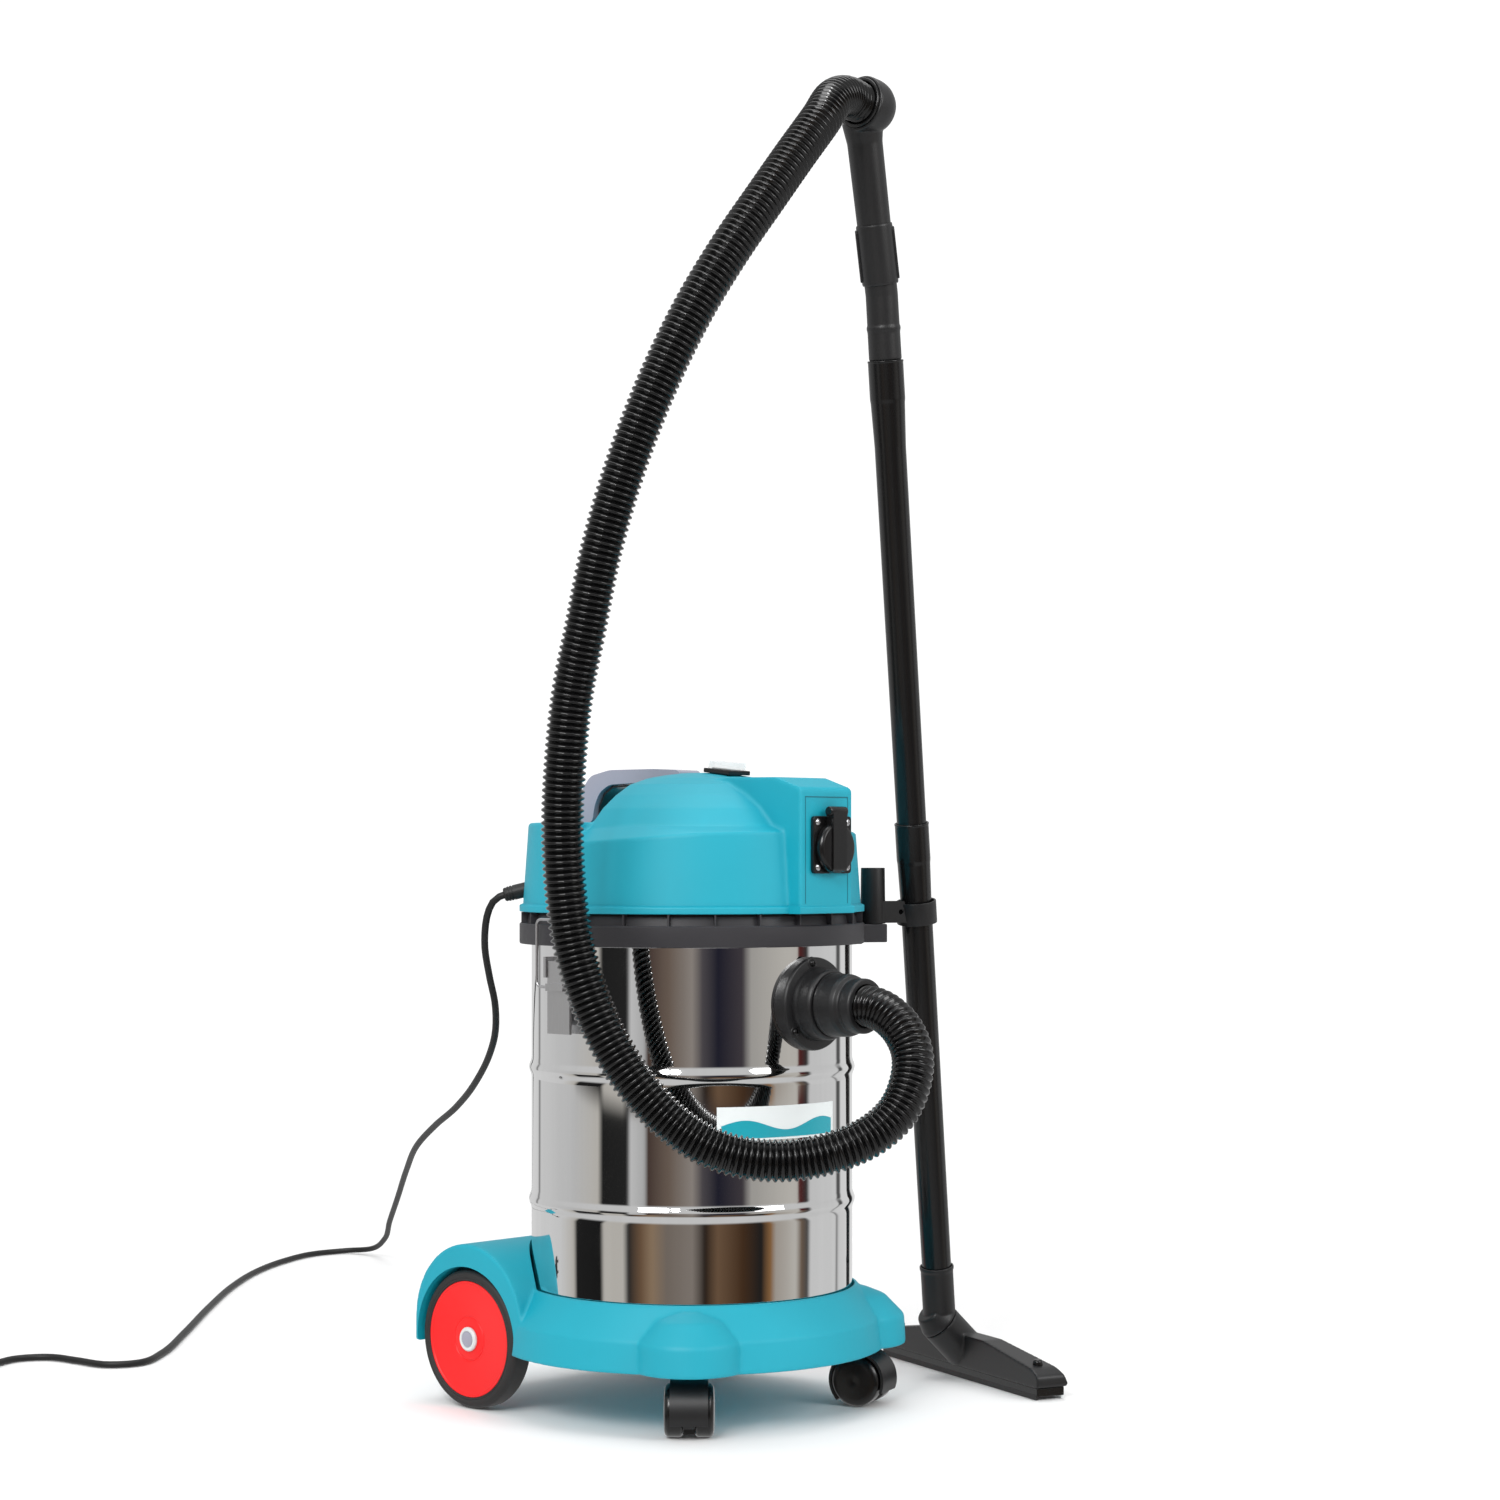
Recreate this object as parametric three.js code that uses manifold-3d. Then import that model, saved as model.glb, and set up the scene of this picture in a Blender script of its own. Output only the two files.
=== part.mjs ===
// Wet-and-dry drum vacuum cleaner on a wheeled trolley, with its hose, wand, floor nozzle and mains lead.
// Millimetres, +Z up. Each piece is drawn round the drum's axis with the floor at z = 0 and the front at -Y;
// the whole machine is then moved so that the origin is under the middle of its box.
import * as THREE from "three";
import { mergeVertices } from "three/addons/utils/BufferGeometryUtils.js";
import Module from "manifold-3d";

const wasm = await Module();
wasm.setup();

// ---- Driving dimensions ----
const GAP = 0.3; // between pieces that touch
const RUN = 0.08; // round a shaft that turns in its bore
const ROUND = 32; // sides of everything that goes round the drum
const MIDDLE_X = 98.9; // middle of the machine's box, seen from the drum's axis
const MIDDLE_Y = -19;

const DRUM_R = 160;
const DRUM_WALL = 1.5;
const DRUM_FLOOR_Z = 78;
const DRUM_TOP_Z = 467;
const BEAD_ZS = [207, 338];
const BEAD_H = 2.5;

const RING_R = 172; // black base ring of the motor head
const RING_BOTTOM_Z = 460.6;
const RING_TOP_Z = 481;
const LIP_Z = 492; // lower edge of the coloured cover
const DECK_Z = 580; // low shoulder behind the dome
const DOME_Z = 630;
const DOME_BACK_Y = 8;
const DOME_Y = -15; // axis of the round crown
const SHOULDER_TILT = 0.075; // the shoulder under the crown falls towards the front
const COVER_WALL = 3;
const BLOCK_HALF = 37; // socket block on the front of the cover
const BLOCK_Y = -181;

const TROLLEY_BOTTOM_Z = 60;
const TROLLEY_EDGE_Z = 122;
const POCKET_R = 162.3;
const POD_X = 115; // caster pods
const POD_Y = -110;
const POD_R = 55;
const ARCH_Y = 139; // mudguard arch
const ARCH_Z = 84;
const ARCH_R = 79;
const ARCH_X = 176;

const WHEEL_R = 68.5;
const WHEEL_W = 26;
const WHEEL_FACE_X = 173;
const WHEEL_Y = 142;
const HUB_R = 57.5;
const AXLE_R = 4.5;
const CASTER_R = 25;
const CASTER_TRAIL = 13;
const STEM_R = 5.2;

const INLET_Z = 405;
const INLET_BORE_R = 24;
const HOSE_R = 19.5;
const CORD_R = 3.6;
const RELIEF_AT = new THREE.Vector3(-106.5, 112.5, 516.4); // inner end of the cord's bend relief
const CORD_OUT = new THREE.Vector3(-0.66, 0.7, -0.24).normalize();

// The wand leans over the tank: it stands on WAND_FOOT and points along WAND_UP.
const WAND_FOOT = new THREE.Vector3(275.5, -87.1, 119);
const WAND_UP = new THREE.Vector3(-0.1754, -0.0754, 1).normalize();
const TUBE_JOINT_S = 470; // distance along the wand to the joint of its two tubes
const HANDLE_S = 936;
const HANDLE_BEND_S = 1000;
const HANDLE_TOP = new THREE.Vector3(64.8, -172.8, 1243);
const COLLAR_CENTRE = new THREE.Vector3(61, -184, 1275);
const COLLAR_AXIS = new THREE.Vector3(-0.995, -0.03, 0.09).normalize();
const HOLDER_Z = 490;
const HOLDER_H = 22;
const STUB = new THREE.Vector2(167.2, -93.5);

const NOZZLE_YAW = -0.345; // the nozzle's rear, which faces the tank, turned from -X
const NOZZLE_CENTRE = new THREE.Vector3(318, -97, 0);
const NOZZLE_L = 325;
const NOZZLE_W = 36;
const SWIVEL_CENTRE = new THREE.Vector3(286, -82.5, 58);
const SWIVEL_R = 21.5;
const SWIVEL_TILT = Math.PI / 4;

// Free hose, from the inlet cuff round the tank and up to the wand's collar.
const HOSE_ROUTE = [
  [0, -212, 405], [0, -238, 404.8], [0, -257, 399], [-2, -279, 384], [-7, -295, 362], [-18, -303, 336],
  [-34, -301, 311], [-56, -289, 291], [-84, -271, 277], [-111, -246, 269], [-138, -220, 269],
  [-164, -193, 278], [-187, -165, 299], [-207, -139, 331], [-221, -116, 369], [-233, -97, 415],
  [-242, -85, 465], [-249, -81, 521], [-253, -82, 581], [-255, -89, 645], [-253, -96, 700],
  [-250, -109, 755], [-244, -124, 827], [-232, -142, 900], [-213, -162, 973], [-184, -181, 1045],
  [-150, -196, 1105], [-111, -205, 1158], [-73, -207, 1203], [-36, -206, 1243], [-7, -196, 1268],
  [21, -187, 1278], [41, -184.6, 1276.8], [59, -184, 1275.2],
];
// Free mains lead: out of the cover, down to the floor behind the machine and along it to the plug.
const CORD_ROUTE = [
  [-130.5, 138, 507.7], [-135, 145.5, 502], [-135, 155, 488], [-127, 168, 458], [-112, 178, 426], [-98, 185, 397],
  [-84, 200, 368], [-68, 228, 340], [-42, 280, 307], [-1, 356, 276], [50, 450, 247],
  [113, 556, 213], [220, 702, 166], [330, 850, 112], [405, 956, 66], [466, 1040, 30],
  [495, 1100, 9], [480, 1140, 4], [429, 1149, CORD_R], [360, 1121, CORD_R], [271, 1065, CORD_R],
  [166, 977, CORD_R], [36, 851, CORD_R], [-97, 716, CORD_R], [-196, 620, CORD_R], [-250, 585, CORD_R],
  [-281, 600, CORD_R], [-288, 645, CORD_R], [-296, 686, CORD_R], [-326, 703, CORD_R], [-366, 690, CORD_R],
];

// ---- Finishes ----
const finish = (color, roughness, metalness = 0) =>
  new THREE.MeshStandardMaterial({ color, roughness, metalness });
const TEAL = finish(0x22b0bd, 0.45);
const BLACK = finish(0x232325, 0.5);
const GREY = finish(0x9d9bb0, 0.35);
const RED = finish(0xe8201c, 0.4);
const RUBBER = finish(0x1c1c1d, 0.75);
const WHITE = finish(0xd8dcdc, 0.4);
const CLEAR = finish(0xeef2f3, 0.15);
const MIRROR = finish(0xd8d8d8, 0.08, 1);
const STEEL = finish(0xa8abad, 0.35, 1);
const COPPER = finish(0xb87342, 0.45, 1);
const CLOTH = finish(0xd9d4c6, 0.9);

// ---- Solids ----
function solidOf(geometry) {
  const bare = geometry.index ? geometry.toNonIndexed() : geometry.clone();
  bare.deleteAttribute("normal");
  bare.deleteAttribute("uv");
  const merged = mergeVertices(bare, 1e-4);
  const mesh = new wasm.Mesh({
    numProp: 3,
    vertProperties: merged.attributes.position.array,
    triVerts: new Uint32Array(merged.index.array),
  });
  return new wasm.Manifold(mesh);
}

function geometryOf(solid) {
  const mesh = solid.getMesh();
  return new THREE.BufferGeometry()
    .setAttribute("position", new THREE.BufferAttribute(mesh.vertProperties, 3))
    .setIndex(new THREE.BufferAttribute(mesh.triVerts, 1));
}

const join = (...all) => geometryOf(all.map(solidOf).reduce((sum, next) => sum.add(next)));
const cut = (whole, ...tools) =>
  geometryOf(tools.map(solidOf).reduce((rest, tool) => rest.subtract(tool), solidOf(whole)));
const overlap = (one, other) => geometryOf(solidOf(one).intersect(solidOf(other)));

// A solid of revolution about Z from [radius, height] points, going up the outside.
function turned(profile, segments = 48) {
  const closed = profile[0][0] === 0 && profile.at(-1)[0] === 0 ? profile : [...profile, profile[0]];
  const points = closed.map(([r, z]) => new THREE.Vector2(r, z));
  return new THREE.LatheGeometry(points, segments).rotateX(Math.PI / 2);
}

const disc = (radius, low, high, segments = 32) =>
  turned([[0, low], [radius, low], [radius, high], [0, high]], segments);
const pipe = (inner, outer, low, high, segments = 32) =>
  turned([[inner, low], [outer, low], [outer, high], [inner, high]], segments);
const box = ([x0, y0, z0], [x1, y1, z1]) =>
  new THREE.BoxGeometry(x1 - x0, y1 - y0, z1 - z0).translate((x0 + x1) / 2, (y0 + y1) / 2, (z0 + z1) / 2);

// Turns a solid drawn about Z so that its Z lies along a direction, then moves it to a place.
const aim = (geometry, direction, place = new THREE.Vector3()) =>
  geometry
    .applyQuaternion(new THREE.Quaternion().setFromUnitVectors(new THREE.Vector3(0, 0, 1), direction))
    .translate(place.x, place.y, place.z);
const alongX = (geometry, x = 0, y = 0, z = 0) => geometry.rotateY(Math.PI / 2).translate(x, y, z);
const alongFront = (geometry, y, z, x = 0) => geometry.rotateX(Math.PI / 2).translate(x, y, z);

// An outline of [y, z] points pushed along X from x0 to x1.
function slab(outline, x0, x1) {
  const shape = new THREE.Shape(outline.map(([y, z]) => new THREE.Vector2(y, z)));
  const solid = new THREE.ExtrudeGeometry(shape, { depth: x1 - x0, bevelEnabled: false });
  const turn = new THREE.Matrix4().makeBasis(
    new THREE.Vector3(0, 1, 0),
    new THREE.Vector3(0, 0, 1),
    new THREE.Vector3(1, 0, 0),
  );
  return solid.applyMatrix4(turn).translate(x0, 0, 0);
}

// Points of an arc in a plane, from one angle to another.
const arc = (cx, cy, radius, from, to, steps) =>
  Array.from({ length: steps + 1 }, (_, i) => {
    const angle = from + ((to - from) * i) / steps;
    return [cx + radius * Math.cos(angle), cy + radius * Math.sin(angle)];
  });

// A round bar along a smooth route.
function sweep(route, radius, sides, steps) {
  const curve = new THREE.CatmullRomCurve3(
    route.map((p) => (p.isVector3 ? p : new THREE.Vector3(...p))),
    false,
    "centripetal",
  );
  const ring = arc(0, 0, radius, 0, 2 * Math.PI, sides).slice(0, sides);
  const section = new THREE.Shape(ring.map(([x, y]) => new THREE.Vector2(x, y)));
  return new THREE.ExtrudeGeometry(section, { steps, extrudePath: curve, bevelEnabled: false });
}

const machine = new THREE.Group();
machine.position.set(-MIDDLE_X, -MIDDLE_Y, 0);

function piece(name, geometry, material, parent = machine) {
  const mesh = new THREE.Mesh(geometry, material);
  mesh.name = name;
  parent.add(mesh);
  return mesh;
}

const SIDES = [["left", -1], ["right", 1]];
// X is not mirrored by scaling, so that every solid keeps its faces pointing out.
const onSide = (side, x0, x1) => (side < 0 ? [-x1, -x0] : [x0, x1]);

// ---- Trolley ----
function arch(radius, x0, x1, floorZ) {
  const round = arc(ARCH_Y, ARCH_Z, radius, 0, Math.PI, 16);
  return slab([[ARCH_Y - radius, floorZ], [ARCH_Y + radius, floorZ], ...round], x0, x1);
}

function trolleyBase() {
  const wall = 4;
  const floorZ = DRUM_FLOOR_Z - 1;
  const bottom = TROLLEY_BOTTOM_Z;
  const dish = turned([[0, bottom], [192, bottom], [188, 90], [164.5, TROLLEY_EDGE_Z], [0, TROLLEY_EDGE_Z]], ROUND);
  const podProfile = [[0, bottom], [POD_R, bottom], [POD_R - 1.5, 89], [POD_R - 21, 109], [POD_R - 41, 117], [0, 118]];
  const pods = [-POD_X, POD_X].map((x) => turned(podProfile, 20).translate(x, POD_Y, 0));
  const outside = join(dish, arch(ARCH_R, -ARCH_X, ARCH_X, bottom), ...pods);
  const keep = disc(POCKET_R + wall, floorZ - wall, 200, ROUND);
  const below = bottom - 1;
  const underDish = turned([[0, below], [188, below], [184.5, 88], [167, 112], [167, floorZ - wall], [0, floorZ - wall]],
    ROUND);
  const underArch = cut(arch(ARCH_R - wall, -134, 134, below), keep);
  const underPods = [-POD_X, POD_X].map((x) =>
    cut(disc(POD_R - wall, below, 85, 20).translate(x, POD_Y, 0), keep),
  );
  const wells = SIDES.map(([, side]) => {
    const [x0, x1] = onSide(side, 138, 180);
    return alongX(disc(WHEEL_R + 3.5, 0, x1 - x0, 28), x0, WHEEL_Y, WHEEL_R);
  });
  const shell = cut(outside, disc(POCKET_R, floorZ, 200, ROUND), underDish, underArch, ...underPods, ...wells);
  const bosses = [-POD_X, POD_X].map((x) => disc(12, 58, floorZ - 1, 12).translate(x, POD_Y, 0));
  const bearings = SIDES.map(([, side]) => {
    const [x0, x1] = onSide(side, 126, 136);
    return alongX(disc(11, 0, x1 - x0, 12), x0, WHEEL_Y, WHEEL_R);
  });
  const stemHoles = [-POD_X, POD_X].map((x) => disc(STEM_R + RUN, 50, 72, 24).translate(x, POD_Y, 0));
  const axleHole = alongX(disc(AXLE_R + GAP, -150, 150, 12), 0, WHEEL_Y, WHEEL_R);
  return cut(join(shell, ...bosses, ...bearings), ...stemHoles, axleHole);
}

function rearWheel(name, side) {
  const w = WHEEL_W;
  const tyre = turned([[HUB_R + GAP, 1], [WHEEL_R - 3, 0], [WHEEL_R, 4], [WHEEL_R, w - 4], [WHEEL_R - 3, w],
    [HUB_R + GAP, w - 1]], 28);
  const hub = turned([[AXLE_R + RUN, 6], [16, 3], [24, 6], [48, 5], [HUB_R, 2], [HUB_R, w - 2], [49, w - 3],
    [46, w - 7], [23, w - 7], [21, w - 4], [AXLE_R + RUN, w - 4]], 28);
  const cap = turned([[0, w - 3.6], [12, w - 3.6], [12, w - 1], [9, w + 1.5], [0, w + 2]], 12);
  for (const [part, geometry, material] of [["tyre", tyre, RUBBER], ["hub", hub, RED], ["cap", cap, WHITE]]) {
    geometry.rotateY((side * Math.PI) / 2);
    geometry.translate(side * (WHEEL_FACE_X - w), WHEEL_Y, WHEEL_R);
    piece(`rear_${part}_${name}`, geometry, material);
  }
}

// Twin-wheel caster, drawn with its axle along X and trailing towards -Y.
function caster(name, x, yaw) {
  const group = new THREE.Group();
  group.position.set(x, POD_Y, 0);
  group.rotation.z = yaw;
  machine.add(group);
  const trail = -CASTER_TRAIL;
  const hood = arc(trail, CASTER_R, CASTER_R + 4.5, -0.25 * Math.PI, 1.12 * Math.PI, 12);
  const hollow = arc(trail, CASTER_R, CASTER_R + 1.5, 1.12 * Math.PI, -0.25 * Math.PI, 12);
  const cover = slab([...hood, ...hollow], -18, 18);
  const web = alongX(disc(CASTER_R + 2, -5.5, 5.5, 20), 0, trail, CASTER_R);
  const footCut = box([-30, -60, -10], [30, 60, 4]);
  const collar = disc(10, 50.5, 57, 12);
  const stem = disc(STEM_R, 50, 70, 12);
  const hole = alongX(disc(3 + GAP, -40, 40, 12), 0, trail, CASTER_R);
  const body = cut(join(cover, web, collar, stem), footCut, hole);
  piece(`caster_fork_${name}`, body, BLACK, group);
  const pin = alongX(disc(3, -21.5, 21.5, 12), 0, trail, CASTER_R);
  piece(`caster_pin_${name}`, pin, STEEL, group);
  for (const [hand, side] of [["a", -1], ["b", 1]]) {
    const tread = turned([[3 + RUN, 0], [CASTER_R - 2, 0], [CASTER_R, 2], [CASTER_R, 14], [CASTER_R - 3, 17],
      [16, 18], [3 + RUN, 18]], 16);
    tread.rotateY((side * Math.PI) / 2).translate(side * 6, trail, CASTER_R);
    piece(`caster_wheel_${name}_${hand}`, tread, BLACK, group);
  }
}

function trolley() {
  piece("trolley_base", trolleyBase(), TEAL);
  piece("rear_axle", alongX(disc(AXLE_R, -166, 166, 12), 0, WHEEL_Y, WHEEL_R), STEEL);
  for (const [name, side] of SIDES) rearWheel(name, side);
  caster("left", -POD_X, -0.812);
  caster("right", POD_X, 0.325);
}

// ---- Tank ----
function tankDrum() {
  const bead = (z) => [[DRUM_R, z - 8], [DRUM_R + BEAD_H, z - 3], [DRUM_R + BEAD_H, z + 3], [DRUM_R, z + 8]];
  const inside = DRUM_R - DRUM_WALL;
  const profile = [
    [0, DRUM_FLOOR_Z], [DRUM_R - 12, DRUM_FLOOR_Z], [DRUM_R - 3, DRUM_FLOOR_Z + 3], [DRUM_R, DRUM_FLOOR_Z + 12],
    ...BEAD_ZS.flatMap(bead),
    [DRUM_R, DRUM_TOP_Z - 6], [DRUM_R + 4, DRUM_TOP_Z - 5], [DRUM_R + 4, DRUM_TOP_Z], [inside, DRUM_TOP_Z],
    [inside, DRUM_FLOOR_Z + 12], [inside - 5, DRUM_FLOOR_Z + 4], [0, DRUM_FLOOR_Z + DRUM_WALL],
  ];
  const mouth = alongFront(disc(INLET_BORE_R + 3, 100, 200, 20), 0, INLET_Z);
  return cut(turned(profile, ROUND), mouth);
}

function inletFlange() {
  const plate = alongFront(disc(45, 120, 169, 24), 0, INLET_Z);
  const spigot = alongFront(turned([[0, 140], [35, 140], [34, 186], [32, 190], [0, 190]], 20), 0, INLET_Z);
  const rim = alongFront(disc(INLET_BORE_R + 2, 146, 160, 20), 0, INLET_Z);
  const outsideDrum = join(
    cut(join(plate, spigot), disc(DRUM_R + GAP, 300, 500, ROUND)),
    rim,
  );
  return cut(outsideDrum, alongFront(disc(INLET_BORE_R - 2, 130, 200, 20), 0, INLET_Z),
    alongFront(disc(29, 172, 200, 20), 0, INLET_Z));
}

function inletCuff() {
  const outer = [[20.3, 174], [28.6, 174], [28.6, 191], [31, 191.3], [29, 213], [25, 216], [25, 232], [20.3, 232]];
  return alongFront(turned(outer, 20), 0, INLET_Z);
}

function latch(name, side) {
  const midY = 12;
  const hingeZ = 441;
  const bailX = 174.1;
  const bailZ = 421;
  const wire = 1.5;
  const block = (x0, x1, y, z0, z1, y0 = -y) => {
    const [low, high] = onSide(side, x0, x1);
    return box([low, midY + y0, z0], [high, midY + y, z1]);
  };
  const pin = (radius, x, z, reach) =>
    new THREE.CylinderGeometry(radius, radius, 2 * reach, 12).translate(side * x, midY, z);
  const ears = [-16, 19].map((y) => block(161, 173, y, 430, 450, y - 3));
  const plate = block(160.4, 163, 19, 385, 450);
  const bracket = cut(join(plate, ...ears), disc(DRUM_R + GAP, 300, 460, ROUND), pin(2 + RUN, 168, hingeZ, 25));
  piece(`latch_bracket_${name}`, bracket, STEEL);
  const arm = join(block(168, 171, 15.5, 376, 446), block(164.5, 171, 15.5, 437.5, 444.5));
  const loop = block(170.8, 177, 12, bailZ - 3.5, bailZ + 3.5);
  const lever = join(cut(join(arm, loop), pin(wire + RUN, bailX, bailZ, 30)), pin(2, 168, hingeZ, 18.8));
  piece(`latch_lever_${name}`, lever, STEEL);
  const legs = [-27, 27].map((y) => block(bailX - wire, bailX + wire, y + wire, bailZ - wire, 487.5, y - wire));
  const top = block(bailX - wire, bailX + wire, 27, 484.5, 487.5);
  piece(`latch_bail_${name}`, join(...legs, top, pin(wire, bailX, bailZ, 27)), STEEL);
}

function tank() {
  piece("tank_drum", tankDrum(), MIRROR);
  piece("inlet_flange", inletFlange(), BLACK);
  piece("inlet_cuff", inletCuff(), BLACK);
  for (const [name, side] of SIDES) latch(name, side);
  piece("vacuum_hose", sweep(HOSE_ROUTE, HOSE_R, 8, 52), RUBBER);
}

// ---- Motor head ----
function headBaseRing() {
  const profile = [[58, 470], [150, 470], [150, 458], [153, 458], [153, 470], [167, 470], [167, RING_BOTTOM_Z],
    [RING_R - 1, RING_BOTTOM_Z], [RING_R, RING_BOTTOM_Z + 2], [RING_R, RING_TOP_Z], [165, RING_TOP_Z],
    [163, LIP_Z - GAP], [160, LIP_Z - GAP], [160, 474], [58, 474]];
  const outward = STUB.clone().normalize();
  const turn = Math.atan2(outward.y, outward.x);
  const lug = box([168, -13, RING_BOTTOM_Z - 1], [STUB.length() + 12, 13, 478]).rotateZ(turn);
  const bore = disc(6.4, 465, 480, 16).translate(STUB.x, STUB.y, 0);
  return cut(join(turned(profile, ROUND), lug), bore);
}

// The cover's outer form, or the same form shrunk by a wall thickness.
function coverForm(wall) {
  const foot = LIP_Z - wall / 3;
  const skirt = RING_R - 3.5 - wall;
  const high = 700;
  const limit = turned([[0, foot], [skirt, foot], [163.4 - wall, 572], [158 - wall, 640], [0, 640]], ROUND);
  const crown = turned([
    [0, 480], [172 - wall, 480], [151 - wall, 547], [135 - wall, 576], [119 - wall, 593.5], [102 - wall, 606.5 - wall],
    [83, 617.3 - wall], [40, 627 - wall], [0, DOME_Z - wall],
  ], ROUND).translate(0, DOME_Y, 0);
  const shoulder = turned([[0, 480], [200, 480], [200, 542 - wall], [132, 578 - wall], [60, 600 - wall], [0, 600 - wall]],
    ROUND).rotateX(SHOULDER_TILT);
  const front = overlap(overlap(join(crown, shoulder), limit),
    box([-200, -200, 400], [200, DOME_BACK_Y - wall, high]));
  const deck = turned([[0, foot], [skirt, foot], [164 - wall, 574], [160 - wall, DECK_Z - wall], [0, DECK_Z - wall]], ROUND);
  const rear = overlap(deck, box([-200, DOME_BACK_Y + wall, 400], [200, 200, high]));
  const core = turned([[0, foot], [skirt, foot], [164.5 - wall, 545 - wall], [160 - wall, 545 - wall],
    [128 - wall, DECK_Z - 3 - wall], [0, DECK_Z - 3 - wall]], ROUND);
  const block = slab([
    [BLOCK_Y + wall, foot], [-60, foot], [-60, 623.5 - wall], [-148, 623 - wall], [BLOCK_Y + wall, 613 - wall],
  ], -BLOCK_HALF + wall, BLOCK_HALF - wall);
  return join(front, rear, core, block);
}

function headCover() {
  const lip = cut(
    join(disc(RING_R, LIP_Z, 500, ROUND), box([-BLOCK_HALF - 2, BLOCK_Y - 1.5, LIP_Z], [BLOCK_HALF + 2, -150, 500])),
    disc(163, 400, 510, ROUND), box([-BLOCK_HALF + 3, BLOCK_Y + 3, 400], [BLOCK_HALF - 3, -140, 510]),
  );
  const switchHole = box([-12, -63, 600], [12, -33, 640]);
  const socketHole = alongFront(disc(21, 170, 190, 20), 0, 558, 4);
  const cordHole = aim(disc(8, -15, 40, 12), CORD_OUT, RELIEF_AT);
  return cut(join(coverForm(0), lip), coverForm(COVER_WALL), switchHole, socketHole, cordHole);
}

function strainRelief() {
  const relief = turned([[4, 0], [11, 0], [11, 3], [7.4, 3.4], [7.4, 7], [7.2, 7.4], [6, 34], [4, 34]], 12);
  return aim(relief, CORD_OUT, RELIEF_AT);
}

function carryHandle() {
  const outline = [
    [DOME_BACK_Y + GAP, 632], [40, 635], [100, 635], ...arc(126, 611, 24, Math.PI / 2, 0, 5).map(([y, z]) => [y, z]),
    [150, DECK_Z + GAP], [128, DECK_Z + GAP], [126, 600], [120, 613], [108, 620], [40, 621.5], [20, 619],
    [DOME_BACK_Y + GAP, 606],
  ];
  return slab(outline.reverse(), -15, 15);
}

// The switch block lies on the sloping crown, so it is a tilted group.
function switchBlock() {
  const group = new THREE.Group();
  group.position.set(0, -48, 628.3);
  group.rotation.x = 0.1;
  machine.add(group);
  const bezel = cut(join(box([-15, -18, 0], [15, 18, 4.5]), box([-11, -14, -15], [11, 14, 1])),
    box([-9.6, -12.6, -12], [9.6, 12.6, 10]));
  piece("switch_bezel", bezel, BLACK, group);
  const boot = cut(box([-12, -15, 4.8], [12, 15, 12.5]), box([-11, -14, 3], [11, 14, 11.6]));
  piece("switch_boot", boot, CLEAR, group);
  const rocker = [[-8.6, -1], [8.6, -1], [8.6, 5.5], [0, 2], [-8.6, 3]];
  for (const [name, y] of [["power", -6.3], ["mode", 6.3]]) {
    piece(`rocker_${name}`, slab(rocker, y - 5.8, y + 5.8).rotateZ(Math.PI / 2), BLACK, group);
  }
}

function powerSocket() {
  const x = 4;
  const z = 558;
  const face = -BLOCK_Y + GAP;
  const plate = box([x - 27, -face - 4, z - 27.5], [x + 27, -face, z + 27.5]);
  const well = alongFront(turned([[0, 170 - GAP], [20.5, 170 - GAP], [20.5, face + 1], [0, face + 1]], 20), 0, z, x);
  const recess = alongFront(disc(18.5, 172.5, 200, 20), 0, z, x);
  piece("socket_plate", cut(join(plate, well), recess), BLACK);
  const lidFace = face + 4 + GAP;
  const lid = alongFront(turned([[0, lidFace], [24.5, lidFace], [24.5, lidFace + 5], [21, lidFace + 9], [0, lidFace + 9]],
    20), 0, z - 3, x);
  const rib = box([x - 10, -lidFace - 10, z - 27], [x + 10, -lidFace, z + 32]);
  const barrel = alongX(disc(4.8, -12, 12, 16), x, -lidFace - 5, z + 32);
  piece("socket_lid", join(lid, rib, barrel), BLACK);
}

function wandHolder() {
  const stub = disc(12.5, 478 + GAP, 535, 20).translate(STUB.x, STUB.y, 0);
  const peg = disc(6, 466, 480, 16).translate(STUB.x, STUB.y, 0);
  const at = pointOnWand((HOLDER_Z - WAND_FOOT.z) / WAND_UP.z);
  const ring = aim(disc(20.6, -HOLDER_H / 2, HOLDER_H / 2, 20), WAND_UP, at);
  const way = new THREE.Vector2(at.x, at.y).sub(STUB);
  const web = box([0, -9, -HOLDER_H / 2 + 1], [way.length(), 9, HOLDER_H / 2 - 1])
    .rotateZ(Math.atan2(way.y, way.x))
    .translate(STUB.x, STUB.y, HOLDER_Z);
  const bore = aim(disc(18.6, -40, 40, 20), WAND_UP, at);
  const pocket = disc(10, 484, 540, 20).translate(STUB.x, STUB.y, 0);
  return cut(join(stub, ring, web, peg), bore, pocket);
}

function motor() {
  const casing = turned([[20, 476], [70, 476], [72, 479], [72, 518], [66, 522], [50, 523], [49, 562], [42, 570],
    [13.6, 570], [13.6, 566.5], [40, 566.5], [45.5, 560], [45.5, 519.5], [68.5, 518], [68.5, 480], [20, 480]], 20);
  piece("motor_casing", casing, STEEL);
  const rotor = [["motor_shaft", disc(4, 484, 575, 16), STEEL],
    ["armature", turned([[4 + GAP, 526], [26, 526], [26, 558], [13, 560], [13, 564], [4 + GAP, 564]], 14), COPPER],
    ["fan_impeller", turned([[4 + GAP, 486], [63, 486], [63, 489], [58, 500], [16, 512], [4 + GAP, 512]], 20), STEEL]];
  for (const [name, geometry, material] of rotor) piece(name, geometry, material);
  piece("motor_field", turned([[28.5, 525], [45, 525], [45, 558], [28.5, 558]], 20), COPPER);
  piece("upper_bearing", turned([[4 + RUN, 566], [13.3, 566], [13.3, 573], [4 + RUN, 573]], 16), STEEL);
}

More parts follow.
